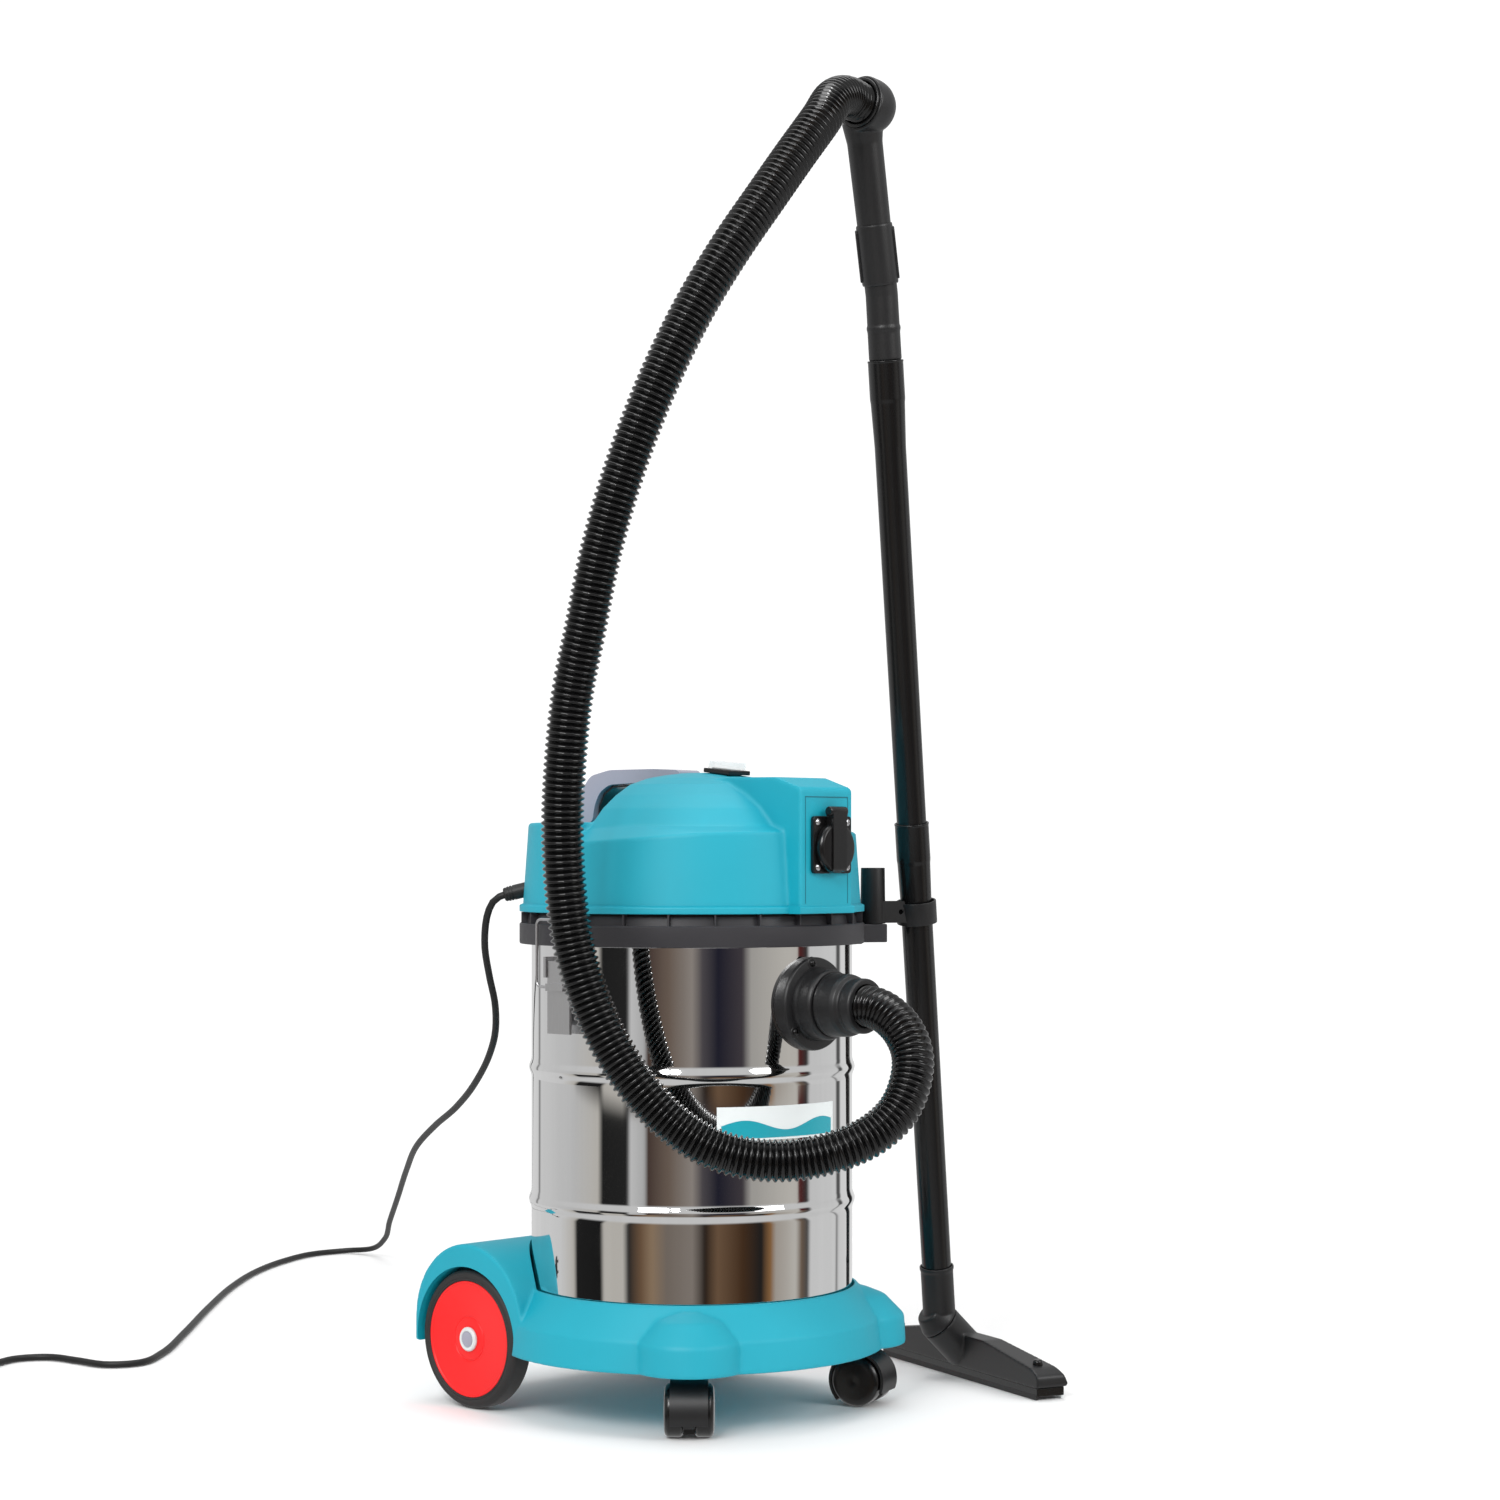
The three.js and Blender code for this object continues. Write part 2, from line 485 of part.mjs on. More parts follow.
function filterGroup() {
  const cage = turned([[0, 352], [78, 352], [78, 462], [84, 462], [84, 469.7], [56, 469.7], [56, 466], [75, 466],
    [75, 355], [0, 355]], 20);
  const windows = [0, 1].map((i) =>
    box([-95, -22, 366], [95, 22, 448]).rotateZ((i * Math.PI) / 2));
  const grille = [0, 1, 2, 3].map((i) =>
    box([74, -2, 360], [78, 2, 456]).rotateZ((i * Math.PI) / 2));
  piece("filter_cage", join(cut(cage, ...windows), ...grille), BLACK);
  piece("filter_sleeve", turned([[0, 346], [85, 346], [85, 456], [78.5, 456], [78.5, 351.5], [0, 351.5]], 20), CLOTH);
  piece("float_ball", new THREE.SphereGeometry(22, 12, 8).rotateX(Math.PI / 2).translate(0, 0, 378), WHITE);
}

function head() {
  piece("head_base_ring", headBaseRing(), BLACK);
  piece("drum_seal", pipe(156, 163.5, DRUM_TOP_Z + GAP, 470 - GAP, ROUND), RUBBER);
  piece("head_cover", headCover(), TEAL);
  piece("carry_handle", carryHandle(), GREY);
  piece("strain_relief", strainRelief(), RUBBER);
  piece("wand_holder", wandHolder(), BLACK);
  switchBlock();
  powerSocket();
  motor();
  filterGroup();
}

// ---- Wand, from the floor up ----
function pointOnWand(s) {
  return WAND_FOOT.clone().addScaledVector(WAND_UP, s);
}

const onWand = (profile, segments = 16) => aim(turned(profile, segments), WAND_UP, WAND_FOOT);

function wandTube(foot, top, footR, topR) {
  const wall = 1.6;
  const socket = top - 42;
  return onWand([
    [footR - 1 - wall, foot - 34], [footR - 1, foot - 34], [footR, foot], [footR + 0.6, top - 85], [topR - 0.4, socket],
    [topR, top - 1], [topR, top], [topR - wall, top], [topR - wall, socket], [footR + 0.6 - wall, top - 85],
  ]);
}

function hoseHandle() {
  const bend = pointOnWand(HANDLE_BEND_S);
  const up = HANDLE_TOP.clone().sub(bend).normalize();
  const spigot = onWand([[0, HANDLE_S - 36], [14.2, HANDLE_S - 36], [14.8, HANDLE_S], [16.4, HANDLE_S + 0.5],
    [16.2, HANDLE_S + 30], [16, HANDLE_BEND_S], [0, HANDLE_BEND_S]]);
  const knuckle = new THREE.SphereGeometry(16, 16, 8).translate(bend.x, bend.y, bend.z);
  const length = HANDLE_TOP.distanceTo(bend);
  const upper = aim(turned([[0, 0], [16, 0], [17.4, length], [20, length + 22], [0, length + 22]], 16), up, bend);
  const collar = aim(turned([[0, -20], [14, -18], [24, -10], [27, 0], [27, 16], [0, 16]], 20), COLLAR_AXIS, COLLAR_CENTRE);
  const mouth = aim(disc(24.6, -4, 30, 20), COLLAR_AXIS, COLLAR_CENTRE);
  const lowBore = onWand([[0, HANDLE_S - 50], [12.6, HANDLE_S - 50], [12.6, HANDLE_BEND_S], [0, HANDLE_BEND_S]]);
  const highBore = aim(disc(12.6, 0, length + 24, 16), up, bend);
  return cut(join(spigot, knuckle, upper, collar), lowBore, highBore, mouth);
}

function airRegulator() {
  const bend = pointOnWand(HANDLE_BEND_S);
  const up = HANDLE_TOP.clone().sub(bend).normalize();
  const sleeve = turned([[17.3, 10], [18.3, 10], [19.4, 13], [19.4, 66], [18.3, 69], [17.3, 69]], 16);
  return aim(sleeve, up, bend);
}

function swivelAxis() {
  const rear = new THREE.Vector3(-Math.cos(NOZZLE_YAW), -Math.sin(NOZZLE_YAW), 0);
  return rear.multiplyScalar(Math.cos(SWIVEL_TILT)).setZ(Math.sin(SWIVEL_TILT));
}

function nozzleNeck() {
  const axis = swivelAxis();
  const cuff = onWand([[0, -84], [17, -84], [17, -4], [18, -3], [18, 0], [0, 0]], 16);
  const flare = aim(turned([[0, 0], [SWIVEL_R, 0], [SWIVEL_R, 3], [15, 16], [0, 16]], 20), axis, SWIVEL_CENTRE);
  const below = aim(disc(70, -90, GAP / 2, 8), axis, SWIVEL_CENTRE);
  const bore = onWand([[0, -38], [16.3, -38], [16.3, 5], [0, 5]]);
  return cut(join(cuff, flare), below, bore);
}

// The nozzle lies along its own X, with its rear, which takes the wand, towards -Y.
function nozzleFrame(geometry) {
  return geometry
    .rotateZ(NOZZLE_YAW - Math.PI / 2)
    .translate(NOZZLE_CENTRE.x, NOZZLE_CENTRE.y, 0);
}

function nozzleBody() {
  const half = NOZZLE_L / 2;
  const deep = NOZZLE_W / 2;
  const crown = [[-half, 12], [half, 12], [half, 25], [half - 12, 30], [60, 46], [-60, 46], [12 - half, 30], [-half, 25]];
  const body = nozzleFrame(slab(crown, -deep, deep).rotateZ(-Math.PI / 2));
  const boss = aim(disc(SWIVEL_R, -62, -GAP / 2, 20), swivelAxis(), SWIVEL_CENTRE);
  const floorCut = box([200, -400, -60], [500, 200, 12.01]);
  const slot = nozzleFrame(box([22 - half, -8, 0], [half - 22, 8, 22]));
  return cut(join(body, boss), floorCut, slot);
}

function nozzleInsert() {
  const half = NOZZLE_L / 2 - 3;
  const deep = NOZZLE_W / 2 - 1;
  const frame = cut(box([-half, -deep, 0], [half, deep, 12 - GAP]), box([14 - half, -9, -1], [half - 14, 9, 20]));
  return nozzleFrame(frame);
}

function wand() {
  piece("hose_handle", hoseHandle(), BLACK);
  piece("hose_swivel_ring", aim(pipe(20.6, 24, -3, 19, 20), COLLAR_AXIS, COLLAR_CENTRE), BLACK);
  piece("air_regulator", airRegulator(), BLACK);
  piece("upper_tube", wandTube(TUBE_JOINT_S + GAP, HANDLE_S, 15.1, 17.8), BLACK);
  piece("lower_tube", wandTube(GAP, TUBE_JOINT_S, 15.3, 17.4), BLACK);
  piece("nozzle_neck", nozzleNeck(), BLACK);
  piece("nozzle_body", nozzleBody(), BLACK);
  piece("nozzle_insert", nozzleInsert(), RUBBER);
}

// ---- Mains lead ----
function mainsPlug() {
  const end = new THREE.Vector3(...CORD_ROUTE.at(-1));
  const before = new THREE.Vector3(...CORD_ROUTE.at(-2));
  const out = end.clone().sub(before).setZ(0).normalize();
  const relief = turned([[0, GAP], [4.6, GAP], [6, 24], [0, 24]], 16);
  const body = turned([[0, 23], [12, 23], [17, 34], [17.5, 56], [0, 56]], 16);
  const pins = [-9.5, 9.5].map((x) => disc(2.4, 55, 75, 8).translate(x, 0, 0));
  return aim(join(relief, body, ...pins), out, end)
    .translate(0, 0, 17.5 - CORD_R);
}

function mainsLead() {
  piece("mains_cord", sweep(CORD_ROUTE, CORD_R, 6, 66), RUBBER);
  piece("mains_plug", mainsPlug(), RUBBER);
}

trolley();
tank();
head();
wand();
mainsLead();

export default machine;
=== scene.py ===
# Looks of the wet-and-dry drum vacuum cleaner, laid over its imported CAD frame.
# Shapes are drawn in millimetres round the drum's axis, with the floor at z = 0 and the front at -Y.
# finish_piece() turns them into metres in the frame.
import math

import bmesh
import bpy
from mathutils import Matrix, Vector


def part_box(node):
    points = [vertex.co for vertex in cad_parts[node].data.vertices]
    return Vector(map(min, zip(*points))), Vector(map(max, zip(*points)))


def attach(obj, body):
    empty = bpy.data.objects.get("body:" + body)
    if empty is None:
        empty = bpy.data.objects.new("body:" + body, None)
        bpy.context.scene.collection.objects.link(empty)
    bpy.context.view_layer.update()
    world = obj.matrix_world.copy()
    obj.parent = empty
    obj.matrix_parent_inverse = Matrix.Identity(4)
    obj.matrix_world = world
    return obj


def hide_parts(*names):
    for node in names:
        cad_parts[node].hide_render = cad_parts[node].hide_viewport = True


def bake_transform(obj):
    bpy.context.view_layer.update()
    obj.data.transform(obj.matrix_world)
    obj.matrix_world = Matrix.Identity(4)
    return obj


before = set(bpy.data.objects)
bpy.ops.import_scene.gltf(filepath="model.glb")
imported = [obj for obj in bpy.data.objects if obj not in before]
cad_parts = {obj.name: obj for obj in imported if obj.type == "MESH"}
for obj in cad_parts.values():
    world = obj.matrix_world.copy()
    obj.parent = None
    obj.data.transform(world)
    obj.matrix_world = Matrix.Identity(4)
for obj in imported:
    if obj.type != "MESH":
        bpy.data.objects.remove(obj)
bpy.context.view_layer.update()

MM = 0.001
drum_low, drum_high = (Vector(corner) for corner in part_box("tank_drum"))
ORIGIN = Vector(((drum_low.x + drum_high.x) / 2, (drum_low.y + drum_high.y) / 2, 0))

# ---- Driving dimensions, as in the CAD, in millimetres ----
DRUM_R = 160
DRUM_TOP_Z = 467
LOWER_BEAD_Z = 207
UPPER_BEAD_Z = 338
RING_R = 172
RING_BOTTOM_Z = 460.6
RING_TOP_Z = 481
LIP_Z = 492
DECK_Z = 580
DOME_Y = -15
DOME_BACK_Y = 8
SHOULDER_TILT = 0.075
BLOCK_HALF = 37
BLOCK_Y = -181
INLET_Z = 405
WHEEL_R = 68.5
WHEEL_W = 26
WHEEL_FACE_X = 173
WHEEL_Y = 142
FENDER_Y = 139
FENDER_Z = 84
FENDER_R = 79
POD_X = 115
POD_Y = -110
CASTER_R = 25
CASTER_TRAIL = 13
SOCKET_X = 4
SOCKET_Z = 558
STUB = Vector((167.2, -93.5))
HOLDER_Z = 490

WAND_FOOT = Vector((275.5, -87.1, 119))
WAND_UP = Vector((-0.1754, -0.0754, 1)).normalized()
TUBE_JOINT_S = 470
HANDLE_S = 936
HANDLE_BEND_S = 1000
HANDLE_TOP = Vector((64.8, -172.8, 1243))
COLLAR_CENTRE = Vector((61, -184, 1275))
COLLAR_AXIS = Vector((-0.995, -0.03, 0.09)).normalized()
NOZZLE_YAW = -0.345
NOZZLE_CENTRE = Vector((318, -97, 0))
NOZZLE_L = 325
NOZZLE_W = 36
SWIVEL_CENTRE = Vector((286, -82.5, 58))
RELIEF_AT = Vector((-106.5, 112.5, 516.4))
CORD_OUT = Vector((-0.66, 0.7, -0.24)).normalized()

HOSE_R = 19.5
HOSE_PITCH = 5.9
HOSE_ROUTE = [
    (0, -212, 405), (0, -238, 404.8), (0, -257, 399), (-2, -279, 384), (-7, -295, 362), (-18, -301.2, 336),
    (-34, -299.6, 311), (-56, -289, 291), (-84, -271, 277), (-111, -246, 269), (-138, -220, 269),
    (-164, -193, 278), (-187, -165, 299), (-207, -139, 331), (-221, -116, 369), (-233, -97, 415),
    (-242, -85, 465), (-249, -81, 521), (-253, -82, 581), (-255, -89, 645), (-253, -96, 700),
    (-250, -109, 755), (-244, -124, 827), (-232, -142, 900), (-213, -162, 973), (-184, -181, 1045),
    (-150, -196, 1105), (-111, -205, 1158), (-73, -207, 1203), (-36, -206, 1243), (-7, -196, 1268),
    (21, -187, 1278), (41, -184.6, 1276.8), (59, -184, 1275.2),
]
CORD_R = 3.6
CORD_ROUTE = [
    (-120.5, 127.4, 511.3), (-130.5, 138, 507.7), (-135, 145.5, 502), (-135, 155, 488), (-127, 168, 458),
    (-112, 178, 426), (-98, 185, 397),
    (-84, 200, 368), (-68, 228, 340), (-42, 280, 307), (-1, 356, 276), (50, 450, 247),
    (113, 556, 213), (220, 702, 166), (330, 850, 112), (405, 956, 66), (466, 1040, 30),
    (492.2, 1100, 9), (480, 1140, 4), (429, 1148.2, CORD_R), (360, 1121, CORD_R), (271, 1065, CORD_R),
    (166, 977, CORD_R), (36, 851, CORD_R), (-97, 716, CORD_R), (-196, 620, CORD_R), (-250, 585, CORD_R),
    (-281, 600, CORD_R), (-288, 645, CORD_R), (-296, 686, CORD_R), (-326, 703, CORD_R), (-366, 690, CORD_R),
]


def place(point):
    """A point in millimetres round the drum, as a point of the frame in metres."""
    return ORIGIN + Vector(point) * MM


# ---- Camera ----
CAMERA_AT = (-2171, -2140, 553)
CAMERA_WAY = Vector((0.725, 0.688, 0)).normalized()


def add_camera():
    data = bpy.data.cameras.new("camera")
    data.sensor_width = 36
    data.lens = 73.2
    data.shift_y = 0.0667
    data.clip_end = 100
    camera = bpy.data.objects.new("camera", data)
    camera.location = place(CAMERA_AT)
    camera.rotation_euler = CAMERA_WAY.to_track_quat("-Z", "Y").to_euler()
    bpy.context.collection.objects.link(camera)
    bpy.context.scene.camera = camera


add_camera()


# ---- Node helpers ----
class Nodes:
    """A new node tree for a material or a world, with short calls for its nodes and links."""

    def __init__(self, owner):
        owner.use_nodes = True
        self.tree = owner.node_tree
        self.tree.nodes.clear()

    def add(self, kind, inputs=None, **settings):
        node = self.tree.nodes.new(kind)
        for name, value in settings.items():
            setattr(node, name, value)
        for name, value in (inputs or {}).items():
            if isinstance(value, bpy.types.NodeSocket):
                self.tree.links.new(value, node.inputs[name])
            else:
                node.inputs[name].default_value = value
        return node

    def math(self, operation, a, b=0.0):
        return self.add("ShaderNodeMath", {0: a, 1: b}, operation=operation).outputs[0]

    def ramp(self, factor, stops):
        node = self.add("ShaderNodeValToRGB", {"Fac": factor})
        elements = node.color_ramp.elements
        while len(elements) < len(stops):
            elements.new(0.5)
        for element, (position, colour) in zip(elements, stops):
            element.position = position
            element.color = (*colour, 1)
        return node.outputs[0]


def linear(*srgb):
    return tuple(c / 12.92 if c <= 0.04045 else ((c + 0.055) / 1.055) ** 2.4 for c in srgb)


def shade(colour, factor):
    return tuple(min(1, c * factor) for c in colour)


MATERIALS = {}


def plastic(name, colour, roughness, grain=1100, bump=0.06, mottle=0.06, coat=0.0, sheen=0.0, scuffs=0.0):
    """Moulded plastic or rubber: fine grain, slow mottling, uneven gloss and light rubbing marks."""
    material = bpy.data.materials.new(name)
    n = Nodes(material)
    where = n.add("ShaderNodeTexCoord").outputs["Object"]
    cloud = n.add("ShaderNodeTexNoise", {"Vector": where, "Scale": 9.0, "Detail": 4.0}).outputs["Fac"]
    grain_at = n.add("ShaderNodeTexNoise", {"Vector": where, "Scale": grain, "Detail": 2.0}).outputs["Fac"]
    stretched = n.add("ShaderNodeMapping", {"Vector": where, "Scale": (1.0, 1.0, 0.12)}).outputs["Vector"]
    streak = n.add("ShaderNodeTexNoise", {"Vector": stretched, "Scale": 60.0, "Detail": 5.0}).outputs["Fac"]
    base = n.ramp(cloud, [(0.3, shade(colour, 1 - mottle)), (0.7, shade(colour, 1 + mottle))])
    marks = n.ramp(streak, [(0.6, (0.0,) * 3), (0.78, (scuffs,) * 3)])
    rubbed = (*shade(colour, 1.5), 1)
    worn = n.add("ShaderNodeMixRGB", {"Fac": marks, "Color1": base, "Color2": rubbed}).outputs[0]
    smoother, duller = roughness * 0.85, roughness * 1.15
    gloss = n.add("ShaderNodeMapRange", {"Value": cloud, "To Min": smoother, "To Max": duller})
    rough = n.math("ADD", gloss.outputs[0], n.math("MULTIPLY", marks, 0.3))
    relief = n.add("ShaderNodeBump", {"Height": grain_at, "Strength": bump, "Distance": 0.0006}).outputs[0]
    surface = n.add("ShaderNodeBsdfPrincipled", {"Base Color": worn, "Roughness": rough, "Normal": relief,
                    "Coat Weight": coat, "Coat Roughness": 0.15, "Sheen Weight": sheen})
    n.add("ShaderNodeOutputMaterial", {"Surface": surface.outputs[0]})
    MATERIALS[name] = material
    return material


def metal(name, colour, roughness, streaks=(1.0, 1.0, 1.0), scale=400, bump=0.02, smudges=0.05):
    """Bare metal with rolling marks, faint waves and finger smudges."""
    material = bpy.data.materials.new(name)
    n = Nodes(material)
    where = n.add("ShaderNodeTexCoord").outputs["Object"]
    drawn = n.add("ShaderNodeMapping", {"Vector": where, "Scale": streaks}).outputs["Vector"]
    lines = n.add("ShaderNodeTexNoise", {"Vector": drawn, "Scale": scale, "Detail": 3.0}).outputs["Fac"]
    smear = n.add("ShaderNodeTexNoise", {"Vector": where, "Scale": 14.0, "Detail": 6.0}).outputs["Fac"]
    patches = n.ramp(smear, [(0.5, (0.0,) * 3), (0.75, (smudges,) * 3)])
    rough = n.math("ADD", patches, roughness)
    tint = n.ramp(lines, [(0.2, shade(colour, 0.94)), (0.8, colour)])
    relief = n.add("ShaderNodeBump", {"Height": lines, "Strength": bump, "Distance": 0.0004}).outputs[0]
    surface = n.add("ShaderNodeBsdfPrincipled", {"Base Color": tint, "Metallic": 1.0, "Roughness": rough,
                    "Normal": relief})
    n.add("ShaderNodeOutputMaterial", {"Surface": surface.outputs[0]})
    MATERIALS[name] = material
    return material


def clear_plastic(name):
    material = bpy.data.materials.new(name)
    n = Nodes(material)
    where = n.add("ShaderNodeTexCoord").outputs["Object"]
    haze = n.add("ShaderNodeTexNoise", {"Vector": where, "Scale": 120.0, "Detail": 4.0}).outputs["Fac"]
    rough = n.add("ShaderNodeMapRange", {"Value": haze, "To Min": 0.05, "To Max": 0.2}).outputs[0]
    surface = n.add("ShaderNodeBsdfPrincipled", {"Base Color": (0.95, 0.97, 0.97, 1), "Roughness": rough,
                    "Alpha": 0.2, "IOR": 1.45})
    n.add("ShaderNodeOutputMaterial", {"Surface": surface.outputs[0]})
    MATERIALS[name] = material
    return material


def cloth(name, colour):
    material = bpy.data.materials.new(name)
    n = Nodes(material)
    where = n.add("ShaderNodeTexCoord").outputs["Object"]
    weave = n.add("ShaderNodeTexWave", {"Vector": where, "Scale": 320.0, "Distortion": 1.5}).outputs["Fac"]
    base = n.ramp(weave, [(0.2, shade(colour, 0.8)), (0.8, colour)])
    relief = n.add("ShaderNodeBump", {"Height": weave, "Strength": 0.4, "Distance": 0.0005}).outputs[0]
    surface = n.add("ShaderNodeBsdfPrincipled", {"Base Color": base, "Roughness": 0.95, "Normal": relief,
                    "Sheen Weight": 0.3})
    n.add("ShaderNodeOutputMaterial", {"Surface": surface.outputs[0]})
    MATERIALS[name] = material
    return material


plastic("teal", linear(0.0, 0.6, 0.68), 0.52, grain=1500, bump=0.05, mottle=0.03, scuffs=0.06)
# A darker copy of the teal: painted shade for the panel's outline lines.
plastic("groove_shade_teal", linear(0.02, 0.36, 0.41), 0.6, grain=1500, bump=0.05, mottle=0.03)
plastic("black", linear(0.105, 0.105, 0.11), 0.4, grain=1300, bump=0.08, mottle=0.1, scuffs=0.15)
plastic("gloss_black", linear(0.055, 0.055, 0.058), 0.24, grain=900, bump=0.03, mottle=0.1, scuffs=0.1)
plastic("ring_grey", linear(0.185, 0.18, 0.195), 0.5, grain=1300, bump=0.08, mottle=0.06, scuffs=0.1)
plastic("grey", linear(0.6, 0.6, 0.655), 0.25, grain=700, bump=0.02, mottle=0.03, coat=0.4, scuffs=0.06)
plastic("red", linear(0.92, 0.05, 0.06), 0.4, grain=1000, bump=0.05, mottle=0.04, scuffs=0.08)
plastic("tyre", linear(0.16, 0.155, 0.155), 0.6, grain=800, bump=0.15, mottle=0.12, scuffs=0.2)
plastic("hose", linear(0.04, 0.04, 0.042), 0.15, grain=500, bump=0.01, mottle=0.12, scuffs=0.05)
plastic("cord", linear(0.08, 0.08, 0.08), 0.5, grain=1000, bump=0.06, mottle=0.1, scuffs=0.15)
plastic("white", linear(0.82, 0.84, 0.84), 0.35, grain=900, bump=0.03, mottle=0.03, scuffs=0.1)
# Near-black painted shade for the vent gap under the cover lip.
plastic("vent_painted_shade", linear(0.03, 0.03, 0.032), 0.7, grain=900, bump=0.05, mottle=0.1)
plastic("label_white", linear(0.88, 0.9, 0.9), 0.3, grain=600, bump=0.01, mottle=0.02)
plastic("label_teal", linear(0.1, 0.6, 0.66), 0.3, grain=600, bump=0.01, mottle=0.04)
metal("mirror", (0.86, 0.86, 0.86), 0.03, streaks=(1, 1, 0.02), scale=90, bump=0.012, smudges=0.04)
metal("steel", (0.62, 0.62, 0.63), 0.3, streaks=(1, 1, 0.1), scale=500, bump=0.1)
metal("zinc", (0.75, 0.76, 0.78), 0.22, scale=700, bump=0.1)
metal("copper", (0.72, 0.42, 0.2), 0.4, streaks=(1, 1, 8), scale=500, bump=0.4)
clear_plastic("clear")
cloth("cloth", linear(0.85, 0.83, 0.78))


# ---- Shapes, as bmeshes in millimetres ----
def fillet(points, radius, steps=4, closed=False):
    """Rounds the corners of a line of points."""
    result = []
    last = len(points) - 1
    for i, corner in enumerate(points):
        if not closed and i in (0, last):
            result.append(tuple(corner))
            continue
        here = Vector(corner)
        back = Vector(points[i - 1]) - here
        ahead = Vector(points[(i + 1) % len(points)]) - here
        reach = min(radius, back.length * 0.45, ahead.length * 0.45)
        start = here + back.normalized() * reach
        end = here + ahead.normalized() * reach
        for k in range(steps + 1):
            t = k / steps
            result.append(tuple(start * (1 - t) ** 2 + here * 2 * t * (1 - t) + end * t**2))
    return result


def lathe(profile, sides=96):
    """A closed solid of revolution about Z from (radius, height) points that go up the outside."""
    bm = bmesh.new()
    rings = []
    for r, z in profile:
        if r < 1e-6:
            rings.append([bm.verts.new((0, 0, z))] * sides)
            continue
        angles = (2 * math.pi * i / sides for i in range(sides))
        rings.append([bm.verts.new((r * math.cos(a), r * math.sin(a), z)) for a in angles])
    pairs = list(zip(rings, rings[1:]))
    if profile[0][0] > 1e-6 or profile[-1][0] > 1e-6:
        pairs.append((rings[-1], rings[0]))
    for low, high in pairs:
        for i in range(sides):
            j = (i + 1) % sides
            corners = list(dict.fromkeys((low[i], low[j], high[j], high[i])))
            if len(corners) > 2:
                bm.faces.new(corners)
    return bm


def prism(outline, x0, x1):
    """A closed outline of (y, z) points, anticlockwise seen from +X, pushed along X."""
    bm = bmesh.new()
    near = [bm.verts.new((x0, y, z)) for y, z in outline]
    far = [bm.verts.new((x1, y, z)) for y, z in outline]
    count = len(outline)
    for i in range(count):
        j = (i + 1) % count
        bm.faces.new((near[i], near[j], far[j], far[i]))
    bm.faces.new(list(reversed(near)))
    bm.faces.new(far)
    bmesh.ops.recalc_face_normals(bm, faces=bm.faces)
    return bm


def slab(low, high):
    (x0, y0, z0), (x1, y1, z1) = low, high
    return prism([(y0, z0), (y1, z0), (y1, z1), (y0, z1)], x0, x1)


def disc(radius, low, high, sides=64):
    return lathe([(0, low), (radius, low), (radius, high), (0, high)], sides)


def tube_of(inner, outer, low, high, soften=0.6, sides=64):
    profile = fillet([(inner, low), (outer, low), (outer, high), (inner, high)], soften, 3, closed=True)
    return lathe(profile, sides)


def moved(bm, matrix):
    bmesh.ops.transform(bm, matrix=matrix, verts=bm.verts)
    return bm


def shifted(bm, x=0, y=0, z=0):
    return moved(bm, Matrix.Translation((x, y, z)))


def aimed(bm, direction, at=(0, 0, 0)):
    turn = Vector((0, 0, 1)).rotation_difference(Vector(direction)).to_matrix().to_4x4()
    return moved(bm, Matrix.Translation(at) @ turn)


def along_x(bm, at=(0, 0, 0)):
    return moved(bm, Matrix.Translation(at) @ Matrix.Rotation(math.pi / 2, 4, "Y"))


def along_front(bm, at=(0, 0, 0)):
    return moved(bm, Matrix.Translation(at) @ Matrix.Rotation(math.pi / 2, 4, "X"))


def arc(cx, cy, radius, start, end, steps):
    angles = (start + (end - start) * i / steps for i in range(steps + 1))
    return [(cx + radius * math.cos(a), cy + radius * math.sin(a)) for a in angles]


def merged(*parts):
    whole = bmesh.new()
    for part in parts:
        mesh = bpy.data.meshes.new("part")
        part.to_mesh(mesh)
        part.free()
        whole.from_mesh(mesh)
        bpy.data.meshes.remove(mesh)
    return whole


def as_object(bm, name="work"):
    mesh = bpy.data.meshes.new(name)
    bm.to_mesh(mesh)
    bm.free()
    work = bpy.data.objects.new(name, mesh)
    bpy.context.collection.objects.link(work)
    return work


def evaluated(work):
    """The bmesh of an object with its modifiers applied; the object goes."""
    bpy.context.view_layer.update()
    mesh = bpy.data.meshes.new_from_object(work.evaluated_get(bpy.context.evaluated_depsgraph_get()))
    bm = bmesh.new()
    bm.from_mesh(mesh)
    bpy.data.meshes.remove(mesh)
    bpy.data.objects.remove(work)
    return bm


def combined(bm, tools, operation="DIFFERENCE"):
    work = as_object(bm)
    helpers = [as_object(tool, "tool") for tool in tools]
    for helper in helpers:
        step = work.modifiers.new("step", "BOOLEAN")
        step.operation = operation
        step.solver = "EXACT"
        step.object = helper
    result = evaluated(work)
    for helper in helpers:
        bpy.data.objects.remove(helper)
    return result


def moulded(bm, voxel, passes):
    """One skin over everything in bm, with its inner corners and edges softened as a mould does."""
    work = as_object(bm)
    skin = work.modifiers.new("skin", "REMESH")
    skin.mode = "VOXEL"
    skin.voxel_size = voxel
    soften = work.modifiers.new("soften", "SMOOTH")
    soften.factor = 0.5
    soften.iterations = passes
    return evaluated(work)


